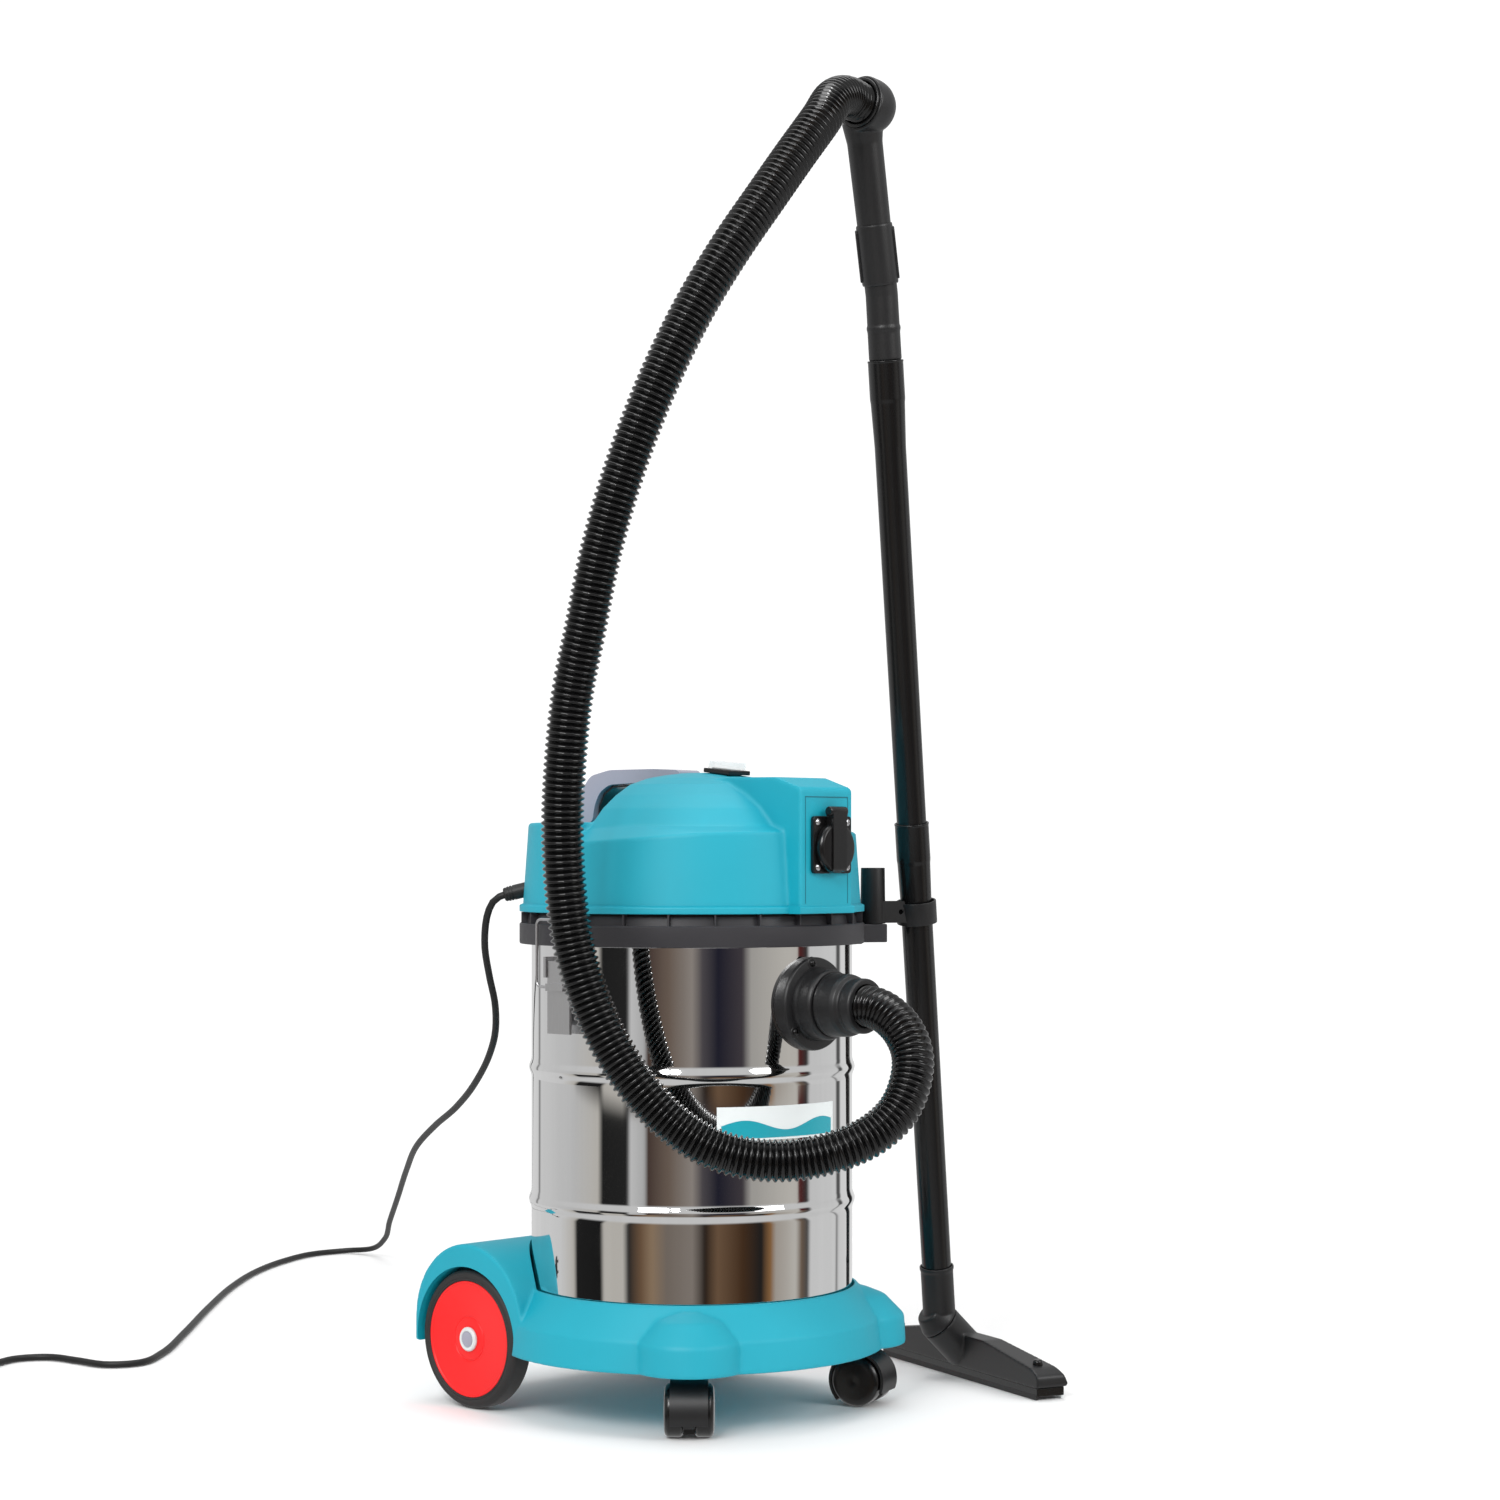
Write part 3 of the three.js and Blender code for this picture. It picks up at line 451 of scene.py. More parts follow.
def finish_piece(name, bm, material, body, nodes=(), bevel=0.0, smooth=38):
    """Makes a scene piece of a bmesh, with its finish and its body, in place of the CAD nodes."""
    moved(bm, Matrix.Translation(ORIGIN) @ Matrix.Scale(MM, 4))
    mesh = bpy.data.meshes.new(name)
    bm.to_mesh(mesh)
    bm.free()
    mesh.shade_smooth()
    mesh.set_sharp_from_angle(angle=math.radians(smooth))
    mesh.materials.append(MATERIALS[material])
    piece = bpy.data.objects.new(name, mesh)
    bpy.context.collection.objects.link(piece)
    if bevel:
        edge = piece.modifiers.new("edge", "BEVEL")
        edge.width = bevel * MM
        edge.segments = 3
        edge.limit_method = "ANGLE"
        edge.angle_limit = math.radians(smooth)
        edge.harden_normals = True
    if nodes:
        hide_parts(*nodes)
    if body:
        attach(piece, body)
    return piece


# ---- Free hose and mains lead ----
def through(route, per_span=14):
    """Points of the centripetal Catmull-Rom curve through a route, evenly dense."""
    knots = [Vector(p) for p in route]
    knots = [knots[0] * 2 - knots[1], *knots, knots[-1] * 2 - knots[-2]]
    points = []
    for a, b, c, d in zip(knots, knots[1:], knots[2:], knots[3:]):
        t1 = (b - a).length ** 0.5
        t2 = t1 + (c - b).length ** 0.5
        t3 = t2 + (d - c).length ** 0.5
        for k in range(per_span):
            t = t1 + (t2 - t1) * k / per_span
            ab = a.lerp(b, t / t1)
            bc = b.lerp(c, (t - t1) / (t2 - t1))
            cd = c.lerp(d, (t - t2) / (t3 - t2))
            abc = ab.lerp(bc, t / t2)
            bcd = bc.lerp(cd, (t - t1) / (t3 - t1))
            points.append(abc.lerp(bcd, (t - t1) / (t2 - t1)))
    return [*points, knots[-2]]


def evenly(points, step):
    """The same line, at equal distances along it, and its length."""
    far = [0.0]
    for a, b in zip(points, points[1:]):
        far.append(far[-1] + (b - a).length)
    count = round(far[-1] / step)
    result = []
    k = 0
    for i in range(count + 1):
        s = far[-1] * i / count
        while k < len(far) - 2 and far[k + 1] < s:
            k += 1
        result.append(points[k].lerp(points[k + 1], (s - far[k]) / (far[k + 1] - far[k])))
    return result, far[-1]


def swept(points, radius_at, sides):
    """A closed tube round a line; radius_at gives its radius at each ring."""
    bm = bmesh.new()
    rings = []
    side = None
    for i, point in enumerate(points):
        ahead = (points[min(i + 1, len(points) - 1)] - points[max(i - 1, 0)]).normalized()
        side = ahead.orthogonal() if side is None else side - ahead * side.dot(ahead)
        side.normalize()
        other = ahead.cross(side)
        r = radius_at(i)
        ring = []
        for k in range(sides):
            angle = 2 * math.pi * k / sides
            ring.append(bm.verts.new(point + (side * math.cos(angle) + other * math.sin(angle)) * r))
        rings.append(ring)
    for a, b in zip(rings, rings[1:]):
        for k in range(sides):
            j = (k + 1) % sides
            bm.faces.new((a[k], a[j], b[j], b[k]))
    bm.faces.new(list(reversed(rings[0])))
    bm.faces.new(rings[-1])
    return bm


RIB = (0.0, 0.3, 0.85, 1.0, 0.85, 0.3)


def add_hose():
    line, length = evenly(through(HOSE_ROUTE), HOSE_PITCH / len(RIB))
    valley = HOSE_R - 2.6
    crest = HOSE_R + 0.5
    bm = swept(line, lambda i: valley + (crest - valley) * RIB[i % len(RIB)], 28)
    hose = finish_piece("hose_ribbed", bm, "hose", None, ["vacuum_hose"], smooth=80)
    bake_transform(hose)


def add_lead():
    line, length = evenly(through(CORD_ROUTE), 9)
    bm = swept(line, lambda i: CORD_R, 14)
    lead = finish_piece("lead", bm, "cord", None, ["mains_cord"], smooth=80)
    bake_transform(lead)


add_hose()
add_lead()


# ---- Trolley ----
def arch(radius, x0, x1, foot):
    round_top = arc(FENDER_Y, FENDER_Z, radius, 0, math.pi, 48)
    return prism([(FENDER_Y - radius, foot), (FENDER_Y + radius, foot), *round_top], x0, x1)


def add_trolley():
    wall = 4
    bottom = 60
    below = 55
    dish = lathe([(0, bottom), (192, bottom), (191, 66), (188, 90), (164.5, 122), (0, 122)], 128)
    pod = [(0, bottom), (54.8, bottom), (53.3, 89), (34, 108.8), (14, 116.8), (0, 117.8)]
    pods = [shifted(lathe(fillet(pod, 2.5, 3), 64), x, POD_Y) for x in (-POD_X, POD_X)]
    outside = moulded(merged(dish, arch(FENDER_R, -176, 176, bottom), *pods), 1.8, 5)
    well = 166.3
    dish_under = lathe([(0, below), (188, below), (184.5, 88), (167, 112), (167, 73), (0, 73)], 96)
    arch_under = combined(arch(FENDER_R - wall, -134, 134, below), [disc(well, 73, 200, 96)])
    pods_under = [combined(shifted(disc(45, below, 90), x, POD_Y), [disc(well, 73, 200, 96)])
                  for x in (-POD_X, POD_X)]
    wheel_room = [along_x(disc(WHEEL_R + 3.5, 0, 44, 96), (x, WHEEL_Y, WHEEL_R)) for x in (-181, 137)]
    hollow = [disc(162.3, 77, 200, 128), dish_under, arch_under, *pods_under, *wheel_room]
    shell = combined(outside, hollow)
    bosses = [shifted(disc(12, 58, 76), x, POD_Y) for x in (-POD_X, POD_X)]
    bearings = [along_x(disc(11, 0, 10), (x, WHEEL_Y, WHEEL_R)) for x in (-136, 126)]
    finish_piece("trolley_shell", merged(shell, *bosses, *bearings), "teal", "tank", ["trolley_base"],
                 smooth=32)


def add_rear_wheel(name, side):
    w = WHEEL_W
    body = f"rear_wheel_{name}"
    tread = [(57.6, 1), (59, 0.3), (WHEEL_R - 3.5, 0), (WHEEL_R, 4.5), (WHEEL_R, w - 4.5), (WHEEL_R - 3.5, w),
             (61, w - 0.2), (60, w - 1.2), (59, w - 0.2), (57.6, w - 1)]
    tyre = lathe(fillet(tread, 2, 3, closed=True), 128)
    face = [(4.6, 6), (16, 3), (24, 6), (48, 5), (57.3, 2), (57.3, w - 1.2), (55.8, w - 1.2), (55, w - 2.4),
            (22.6, w - 2.8), (22.2, w - 3.6), (21, w - 3.6), (20.6, w - 2.8), (13, w - 2.6), (4.6, w - 2.6)]
    disc_face = lathe(fillet(face, 0.5, 2, closed=True), 128)
    dome = [(0, w - 2.6), (12, w - 2.6), (12, w - 0.6), (10.5, w + 0.9), (8.4, w + 0.9), (8.2, w - 0.2),
            (0, w - 0.2)]
    cap = lathe(fillet(dome, 0.5, 3), 64)
    button = lathe(fillet([(0, w - 0.3), (7.6, w - 0.3), (7.6, w + 0.6), (0, w + 1.2)], 0.8, 3), 48)
    turn = Matrix.Translation((side * (WHEEL_FACE_X - w), WHEEL_Y, WHEEL_R)) @ Matrix.Rotation(
        side * math.pi / 2, 4, "Y")
    finish_piece(f"tyre_{name}", moved(tyre, turn), "tyre", body, [f"rear_tyre_{name}"])
    finish_piece(f"wheel_disc_{name}", moved(disc_face, turn), "red", body, [f"rear_hub_{name}"])
    finish_piece(f"wheel_cap_{name}", moved(cap, turn), "white", body, [f"rear_cap_{name}"])
    finish_piece(f"wheel_button_{name}", moved(button, turn), "grey", body)


def add_caster(name, x, yaw):
    trail = -CASTER_TRAIL
    body = f"caster_{name}"
    to_place = Matrix.Translation((x, POD_Y, 0)) @ Matrix.Rotation(yaw, 4, "Z")
    hood = arc(trail, CASTER_R, CASTER_R + 4.5, -0.25 * math.pi, 1.12 * math.pi, 32)
    hollow = arc(trail, CASTER_R, CASTER_R + 1.5, 1.12 * math.pi, -0.25 * math.pi, 32)
    web = along_x(disc(CASTER_R + 2, -5.5, 5.5), (0, trail, CASTER_R))
    neck = lathe(fillet([(0, 50.5), (10, 50.5), (9.4, 57), (0, 57)], 1), 40)
    notch = slab((-30, -60, -10), (30, 60, 4))
    front_notch = slab((-9, trail - 40, -1), (9, trail - 12, 11))
    fork = combined(prism([*hood, *hollow], -18, 18), [web, neck, disc(5.2, 50, 70)], "UNION")
    fork = combined(fork, [notch, front_notch, along_x(disc(3.3, -40, 40, 24), (0, trail, CASTER_R))])
    finish_piece(f"fork_{name}", moved(fork, to_place), "black", body, [f"caster_fork_{name}"], bevel=0.6)
    for hand, side in (("a", -1), ("b", 1)):
        rim = [(3.1, 0.4), (12, 0), (23, 0), (25, 2), (25, 14), (22.6, 16.8), (18, 17.6), (8, 18), (0, 18),
               (0, 16), (3.1, 16)]
        wheel = lathe(fillet(rim, 1, 3, closed=True), 64)
        spin = Matrix.Translation((side * 6, trail, CASTER_R)) @ Matrix.Rotation(side * math.pi / 2, 4, "Y")
        wheel_node = f"caster_wheel_{name}_{hand}"
        finish_piece(f"roller_{name}_{hand}", moved(wheel, to_place @ spin), "gloss_black", wheel_node,
                     [wheel_node])


add_trolley()
for side_name, side_sign in (("left", -1), ("right", 1)):
    add_rear_wheel(side_name, side_sign)
add_caster("left", -POD_X, -0.812)
add_caster("right", POD_X, 0.325)


# ---- Tank ----
def bead(z):
    """A rolled bead as a smooth swelling of the wall."""
    swell = [(-11, 0.0), (-8, 0.15), (-5.5, 0.9), (-3, 2.0), (0, 2.5), (3, 2.0), (5.5, 0.9), (8, 0.15),
             (11, 0.0)]
    return [(DRUM_R + out, z + dz) for dz, out in swell]


def add_drum():
    inside = DRUM_R - 1.4
    foot = [(DRUM_R - 7, 78), (DRUM_R - 3, 79), (DRUM_R - 0.8, 82), (DRUM_R, 87)]
    rim = [(DRUM_R, 460), (DRUM_R + 3, 461.5), (DRUM_R + 4, 464), (DRUM_R + 3, 466.5),
           (DRUM_R + 1, DRUM_TOP_Z)]
    profile = [(0, 79), (DRUM_R - 14, 78), *foot, *bead(LOWER_BEAD_Z), *bead(UPPER_BEAD_Z), *rim,
               (inside, 466), (inside, 90), (inside - 4, 82), (0, 80.5)]
    finish_piece("drum_shell", lathe(profile, 192), "mirror", "tank", ["tank_drum"], smooth=60)
    seam = slab((DRUM_R - 0.2, -0.6, 90), (DRUM_R + 0.25, 0.6, 195))
    moved(seam, Matrix.Rotation(math.radians(100), 4, "Z"))
    finish_piece("drum_seam", seam, "mirror", "tank", smooth=60)


def curved_patch(radius, start, end, low_at, high_at, steps=40, thick=0.3):
    """A thin sheet round the drum; low_at and high_at give its edges at a share of its length."""
    bm = bmesh.new()
    columns = []
    for i in range(steps + 1):
        share = i / steps
        angle = math.radians(start + (end - start) * share)
        ends = ((radius, low_at(share)), (radius, high_at(share)), (radius + thick, high_at(share)),
                (radius + thick, low_at(share)))
        columns.append([bm.verts.new((r * math.cos(angle), r * math.sin(angle), z)) for r, z in ends])
    for a, b in zip(columns, columns[1:]):
        for k in range(4):
            bm.faces.new((a[k], a[(k + 1) % 4], b[(k + 1) % 4], b[k]))
    bm.faces.new(list(reversed(columns[0])))
    bm.faces.new(columns[-1])
    bmesh.ops.recalc_face_normals(bm, faces=bm.faces)
    return bm


def add_label():
    """A plain two-colour sticker with a wavy edge."""
    def wave(share):
        return 291 + 5 * math.sin(share * 9)

    white = curved_patch(DRUM_R + 0.15, -127, -77, lambda s: 277, lambda s: 309)
    teal = curved_patch(DRUM_R + 0.5, -125.5, -78.5, lambda s: 279, wave)
    finish_piece("label_ground", white, "label_white", "tank")
    finish_piece("label_wave", teal, "label_teal", "tank")


def screw(radius, height):
    """A domed cross-head screw standing on z = 0."""
    domed = [(0, 0), (radius, 0), (radius, height * 0.4), (radius * 0.6, height), (0, height)]
    head = lathe(fillet(domed, 0.8, 3), 32)
    across = slab((-radius * 0.6, -0.5, height * 0.6), (radius * 0.6, 0.5, height + 1))
    down = slab((-0.5, -radius * 0.6, height * 0.6), (0.5, radius * 0.6, height + 1))
    return combined(head, [across, down])


def add_inlet():
    rim = [(0, 120), (45, 120), (45, 166), (44, 168.5), (36, 169), (0, 169)]
    plate = along_front(lathe(fillet(rim, 1), 96), (0, 0, INLET_Z))
    plate = combined(plate, [disc(DRUM_R + 0.3, 300, 500, 192)])
    spigot = [(0, 150), (35.5, 150), (35.5, 171), (34.6, 174), (34, 186), (32.6, 189.5), (0, 190)]
    body = along_front(lathe(fillet(spigot, 1.5, 4), 96), (0, 0, INLET_Z))
    body = combined(body, [disc(DRUM_R + 0.3, 300, 500, 192)])
    finish_piece("inlet_plate", merged(plate, body), "black", "tank", ["inlet_flange"])
    for k, angle in enumerate((100, 220, 340)):
        turn = math.radians(angle)
        at = (40 * math.cos(turn), -168.8, INLET_Z + 40 * math.sin(turn))
        finish_piece(f"inlet_screw_{k}", along_front(screw(3.6, 2.6), at), "gloss_black", "tank")
        pad = lathe(fillet([(0, 0), (6.5, 0), (6, 1.6), (0, 1.6)], 0.6), 40)
        finish_piece(f"inlet_pad_{k}", along_front(pad, (at[0], -167.6, at[2])), "black", "tank")
    cuff = [(20.4, 190.6), (30.6, 190.6), (31, 193), (30.4, 196), (29.9, 210), (28.6, 214.5), (25.8, 217),
            (25.4, 219), (26.3, 220.4), (26.3, 230), (25.4, 232), (20.6, 232), (20.4, 228)]
    finish_piece("hose_cuff", along_front(lathe(fillet(cuff, 0.8, 3, closed=True), 96), (0, 0, INLET_Z)),
                 "black", "tank", ["inlet_cuff"])


add_drum()
add_label()
add_inlet()


# ---- Motor head ----
def add_base_ring():
    profile = [(58, 470), (150, 470), (150, 458), (153, 458), (153, 470), (167.6, 470),
               (167.6, RING_BOTTOM_Z), (RING_R - 0.6, RING_BOTTOM_Z), (RING_R, RING_BOTTOM_Z + 1.5),
               (RING_R, RING_TOP_Z - 1.2), (RING_R - 1.2, RING_TOP_Z), (165, RING_TOP_Z), (163, LIP_Z - 0.3),
               (160, LIP_Z - 0.3), (160, 474), (58, 474)]
    ribs = []
    for k in range(24):
        rib = slab((163, -0.8, RING_TOP_Z - 1), (170.6, 0.8, LIP_Z - 0.3))
        ribs.append(moved(rib, Matrix.Rotation(math.radians(7 + 15 * k), 4, "Z")))
    finish_piece("base_ring", merged(lathe(profile, 192), *ribs), "ring_grey", "head", ["head_base_ring"],
                 smooth=30)
    # A thin near-black sheet just under the lip: painted shade that darkens the vent slots between the ribs.
    throat = tube_of(162.9, 163.4, RING_TOP_Z + 0.2, LIP_Z - 0.4, 0.05, 192)
    finish_piece("vent_throat_shade", throat, "vent_painted_shade", "head")
    out = STUB.normalized()
    lug = slab((169, -12, 459.4), (STUB.length + 11.5, 12, 478))
    foot = slab((170.5, -7, 457.6), (178, 7, 460))
    turn = Matrix.Rotation(math.atan2(out.y, out.x), 4, "Z")
    finish_piece("holder_lug", moved(merged(lug, foot), turn), "ring_grey", "head", bevel=1.2)


def cover_parts(wall):
    """The dome, rear deck, shoulder under the dome and socket block of the cover, shrunk by a wall."""
    foot = LIP_Z + 0.5 - wall
    skirt = [(0, foot), (168.9 - wall, foot), (163.4 - wall, 572)]
    crown = [(0, 500), (220, 480), (162, 510), (151, 545), (145.5, 559), (135, 576), (119, 593.5),
             (102, 606.5), (83, 617.3), (60, 623.8), (40, 627), (20, 629.4), (0, 630)]
    crown = [(max(0, r - wall * 0.7), z if r > 200 else z - wall) for r, z in crown]
    shoulder = [(0, 500), (200, 500), (200, 542), (164, 561), (132, 578), (60, 600), (0, 600)]
    shoulder = [(max(0, r - wall * 0.7), z if z < 520 else z - wall) for r, z in shoulder]
    limit = lathe([*skirt, (161 - wall, 600), (158 - wall, 640), (0, 640)], 128)
    sloping = moved(lathe(shoulder, 128), Matrix.Rotation(SHOULDER_TILT, 4, "X"))
    dome = combined(shifted(lathe(crown, 128), y=DOME_Y), [sloping], "UNION")
    dome = combined(dome, [limit], "INTERSECT")
    dome = combined(dome, [slab((-200, -220, 400), (200, DOME_BACK_Y - wall, 700))], "INTERSECT")
    deck = lathe(fillet([*skirt, (163 - wall, DECK_Z - wall), (0, DECK_Z - wall)], 5, 5), 128)
    deck = combined(deck, [slab((-200, DOME_BACK_Y + wall - 0.5, 400), (200, 220, 700))], "INTERSECT")
    core = lathe([*skirt[:2], (164 - wall, 545 - wall), (160 - wall, 545 - wall),
                  (128 - wall, DECK_Z - 3 - wall), (0, DECK_Z - 3 - wall)], 128)
    face = BLOCK_Y + wall
    outline = [(face, foot), (-60, foot), (-60, 624 - wall), (-148, 623 - wall), (face + 2, 613 - wall),
               (face, 610 - wall)]
    block = prism(outline, -BLOCK_HALF + wall, BLOCK_HALF - wall)
    return [dome, deck, core, block]


def add_cover():
    skin = moulded(merged(*cover_parts(0)), 1.8, 3)
    inside = moulded(merged(*cover_parts(3)), 3, 1)
    shell = combined(skin, [inside, slab((-12, -63, 600), (12, -33, 640)),
                            aimed(disc(8, -15, 40), CORD_OUT, RELIEF_AT)])
    lip = lathe(fillet([(165, LIP_Z + 0.2), (RING_R, LIP_Z + 0.2), (RING_R, LIP_Z + 6.5), (168, LIP_Z + 8.2),
                        (165, LIP_Z + 8.2)], 0.9, 3, closed=True), 192)
    front_edge = [(BLOCK_Y - 1.4, LIP_Z + 0.2), (-160, LIP_Z + 0.2), (-160, LIP_Z + 8.2),
                  (BLOCK_Y + 1, LIP_Z + 8.2), (BLOCK_Y - 1.4, LIP_Z + 6.5)]
    front = prism(fillet(front_edge, 0.8, 2, closed=True), -38.5, 38.5)
    lip = combined(lip, [slab((-38, -200, 480), (38, -150, 510))])
    front = combined(front, [slab((-34, BLOCK_Y + 3, 480), (34, -140, 510))])
    finish_piece("cover_shell", shell, "teal", "head", ["head_cover"], smooth=34)
    finish_piece("cover_lip", merged(lip, front), "teal", "head", smooth=34)
    y = BLOCK_Y
    # Thin strips of darker teal a hair proud of the block face: the outline's groove is drawn as painted
    # shade, with no recess cut.
    grooves = [slab((-30.4, y - 0.25, 502), (-29.8, y + 0.5, 604)),
               slab((29.8, y - 0.25, 502), (30.4, y + 0.5, 604)),
               slab((-30.4, y - 0.3, 603.4), (30.4, y + 0.5, 604.2))]
    finish_piece("panel_outline", merged(*grooves), "groove_shade_teal", "head")


def add_handle():
    top = [(DOME_BACK_Y - 6, 632.6), (40, 634.6), (104, 634.6), (132, 629), (147, 612), (150, 581)]
    under = [(129, 581), (126, 598), (118, 612), (104, 619.4), (40, 621.6), (16, 619),
             (DOME_BACK_Y + 0.6, 606)]
    outline = fillet([*top, *under], 6, 5, closed=True)
    finish_piece("handle_arch", prism(list(reversed(outline)), -15, 15), "grey", "head", ["carry_handle"],
                 bevel=4)
    inlay = [(22, 620), (40, 620.6), (104, 618.2), (116, 611), (123.5, 598), (124.5, 584)]
    inner = [(y - 1.6, z - 1.8) for y, z in reversed(inlay)]
    finish_piece("handle_inlay", prism([*inlay, *inner], -11, 11), "gloss_black", "head",
                 bevel=0.4)


def add_switch():
    turn = Matrix.Translation((0, -48, 628.3)) @ Matrix.Rotation(0.1, 4, "X")
    plate = combined(slab((-15, -18, 0), (15, 18, 4.4)), [slab((-9.6, -12.6, -3), (9.6, 12.6, 9))])
    finish_piece("switch_frame", moved(plate, turn), "gloss_black", "head", ["switch_bezel"],
                 bevel=0.9)
    boot = combined(slab((-12, -15, 4.6), (12, 15, 12.3)), [slab((-11.2, -14.2, 3), (11.2, 14.2, 11.6))])
    finish_piece("switch_hood", moved(boot, turn), "clear", "head", ["switch_boot"], bevel=0.5)


def add_socket():
    x, z = SOCKET_X, SOCKET_Z
    face = -BLOCK_Y + 0.3
    corners = [(x - 27, z - 27.5), (x + 27, z - 27.5), (x + 27, z + 27.5), (x - 27, z + 27.5)]
    facing = Matrix(((0, 1, 0, 0), (-1, 0, 0, -face), (0, 0, 1, 0), (0, 0, 0, 1)))
    plate = moved(prism(fillet(corners, 4, 5, closed=True), 0, 4), facing)
    bmesh.ops.recalc_face_normals(plate, faces=plate.faces)
    finish_piece("socket_frame", plate, "gloss_black", "head", ["socket_plate"], bevel=0.7)
    for k, (dx, dz) in enumerate(((-21, -21.5), (21, -21.5), (-21, 21.5), (21, 21.5))):
        at = (x + dx, -face - 3.8, z + dz)
        finish_piece(f"socket_screw_{k}", along_front(screw(3.3, 1.8), at), "zinc", "head")
    front = face + 4.3
    rim = [(0, front), (24.4, front), (24.4, front + 5.4), (22.4, front + 8), (0, front + 8.4)]
    lid = along_front(lathe(fillet(rim, 1.2, 4), 96), (x, 0, z - 3))
    rib_line = [(-front, z - 26.6), (-front, z + 32), (-front - 9.8, z + 35), (-front - 9.8, z - 25)]
    rib = prism(fillet(list(reversed(rib_line)), 3, 4, closed=True), x - 9.8, x + 9.8)
    barrel = lathe(fillet([(0, -12), (4.8, -12), (4.8, 12), (0, 12)], 1.5, 3), 48)
    barrel = along_x(barrel, (x, -front - 5, z + 32))
    finish_piece("socket_cover", merged(lid, rib, barrel), "gloss_black", "socket_lid", ["socket_lid"],
                 bevel=0.5)


def add_relief():
    sleeve = [(4.1, 0), (11, 0), (11, 3), (7.5, 3.6), (7.5, 28), (6.8, 33), (5.6, 34), (4.1, 34)]
    grooves = [tube_of(6.7, 9, s, s + 1.2, 0.2, 40) for s in (24, 27, 30)]
    relief = combined(lathe(fillet(sleeve, 0.8, 3, closed=True), 48), grooves)
    finish_piece("lead_relief", aimed(relief, CORD_OUT, RELIEF_AT), "cord", "head", ["strain_relief"])


def add_wand_holder():
    at = WAND_FOOT + WAND_UP * ((HOLDER_Z - WAND_FOOT.z) / WAND_UP.z)
    way = Vector((at.x, at.y)) - STUB
    ring = aimed(tube_of(18.65, 20.6, -11.5, 11.5, 0.5, 96), WAND_UP, at)
    strap = slab((3, -11, -11), (way.length - 15, 11, 11))
    hollow = slab((6, -8.8, -8), (way.length - 17, 8.8, 14))
    strap = combined(strap, [hollow, along_front(disc(2.6, -20, 20, 32), (way.length * 0.55, 0, 0))])
    turn = Matrix.Translation((STUB.x, STUB.y, HOLDER_Z)) @ Matrix.Rotation(math.atan2(way.y, way.x), 4, "Z")
    strap = combined(moved(strap, turn), [aimed(disc(18.9, -30, 30, 96), WAND_UP, at)])
    stub = [(0, 478.3), (12.8, 478.3), (12.6, 502), (12.2, 535), (10.4, 535), (10, 485), (0, 485)]
    stub = shifted(lathe(fillet(stub, 0.7, 3), 72), STUB.x, STUB.y)
    finish_piece("holder_ring", merged(ring, stub), "black", "head", ["wand_holder"])
    finish_piece("holder_strap", strap, "black", "head", bevel=0.6)


add_base_ring()
add_cover()
add_handle()
add_switch()
add_socket()
add_relief()
add_wand_holder()


# ---- Latch bails ----
def add_bail(name, side):
    corners = [(-27, 421), (-27, 486), (27, 486), (27, 421)]
    outline = fillet(corners, 6, 6, closed=True)
    points = [Vector((side * 174.1, 12 + y, z)) for y, z in outline]
    line, _ = evenly([*points, points[0]], 1.5)
    wire = swept(line, lambda i: 1.45, 12)
    finish_piece(f"bail_wire_{name}", wire, "steel", f"latch_bail_{name}", [f"latch_bail_{name}"], smooth=80)


for side_name, side_sign in (("left", -1), ("right", 1)):
    add_bail(side_name, side_sign)


# ---- Wand ----
def on_wand(profile, sides=72):
    return aimed(lathe(profile, sides), WAND_UP, WAND_FOOT)


def add_tube(name, foot, top, foot_r, top_r, node):
    wall = 1.6
    socket = top - 42
    profile = [(foot_r - 1 - wall, foot - 34), (foot_r - 1, foot - 34), (foot_r, foot + 0.5),
               (foot_r + 0.6, top - 85), (top_r - 0.5, socket), (top_r, socket + 4), (top_r, top - 2.2),
               (top_r + 0.35, top - 1.6), (top_r + 0.35, top), (top_r - wall, top), (top_r - wall, socket),
               (foot_r + 0.6 - wall, top - 85)]
    tube = on_wand(fillet(profile, 0.6, 3, closed=True))
    finish_piece(name, tube, "gloss_black", "wand", [node])


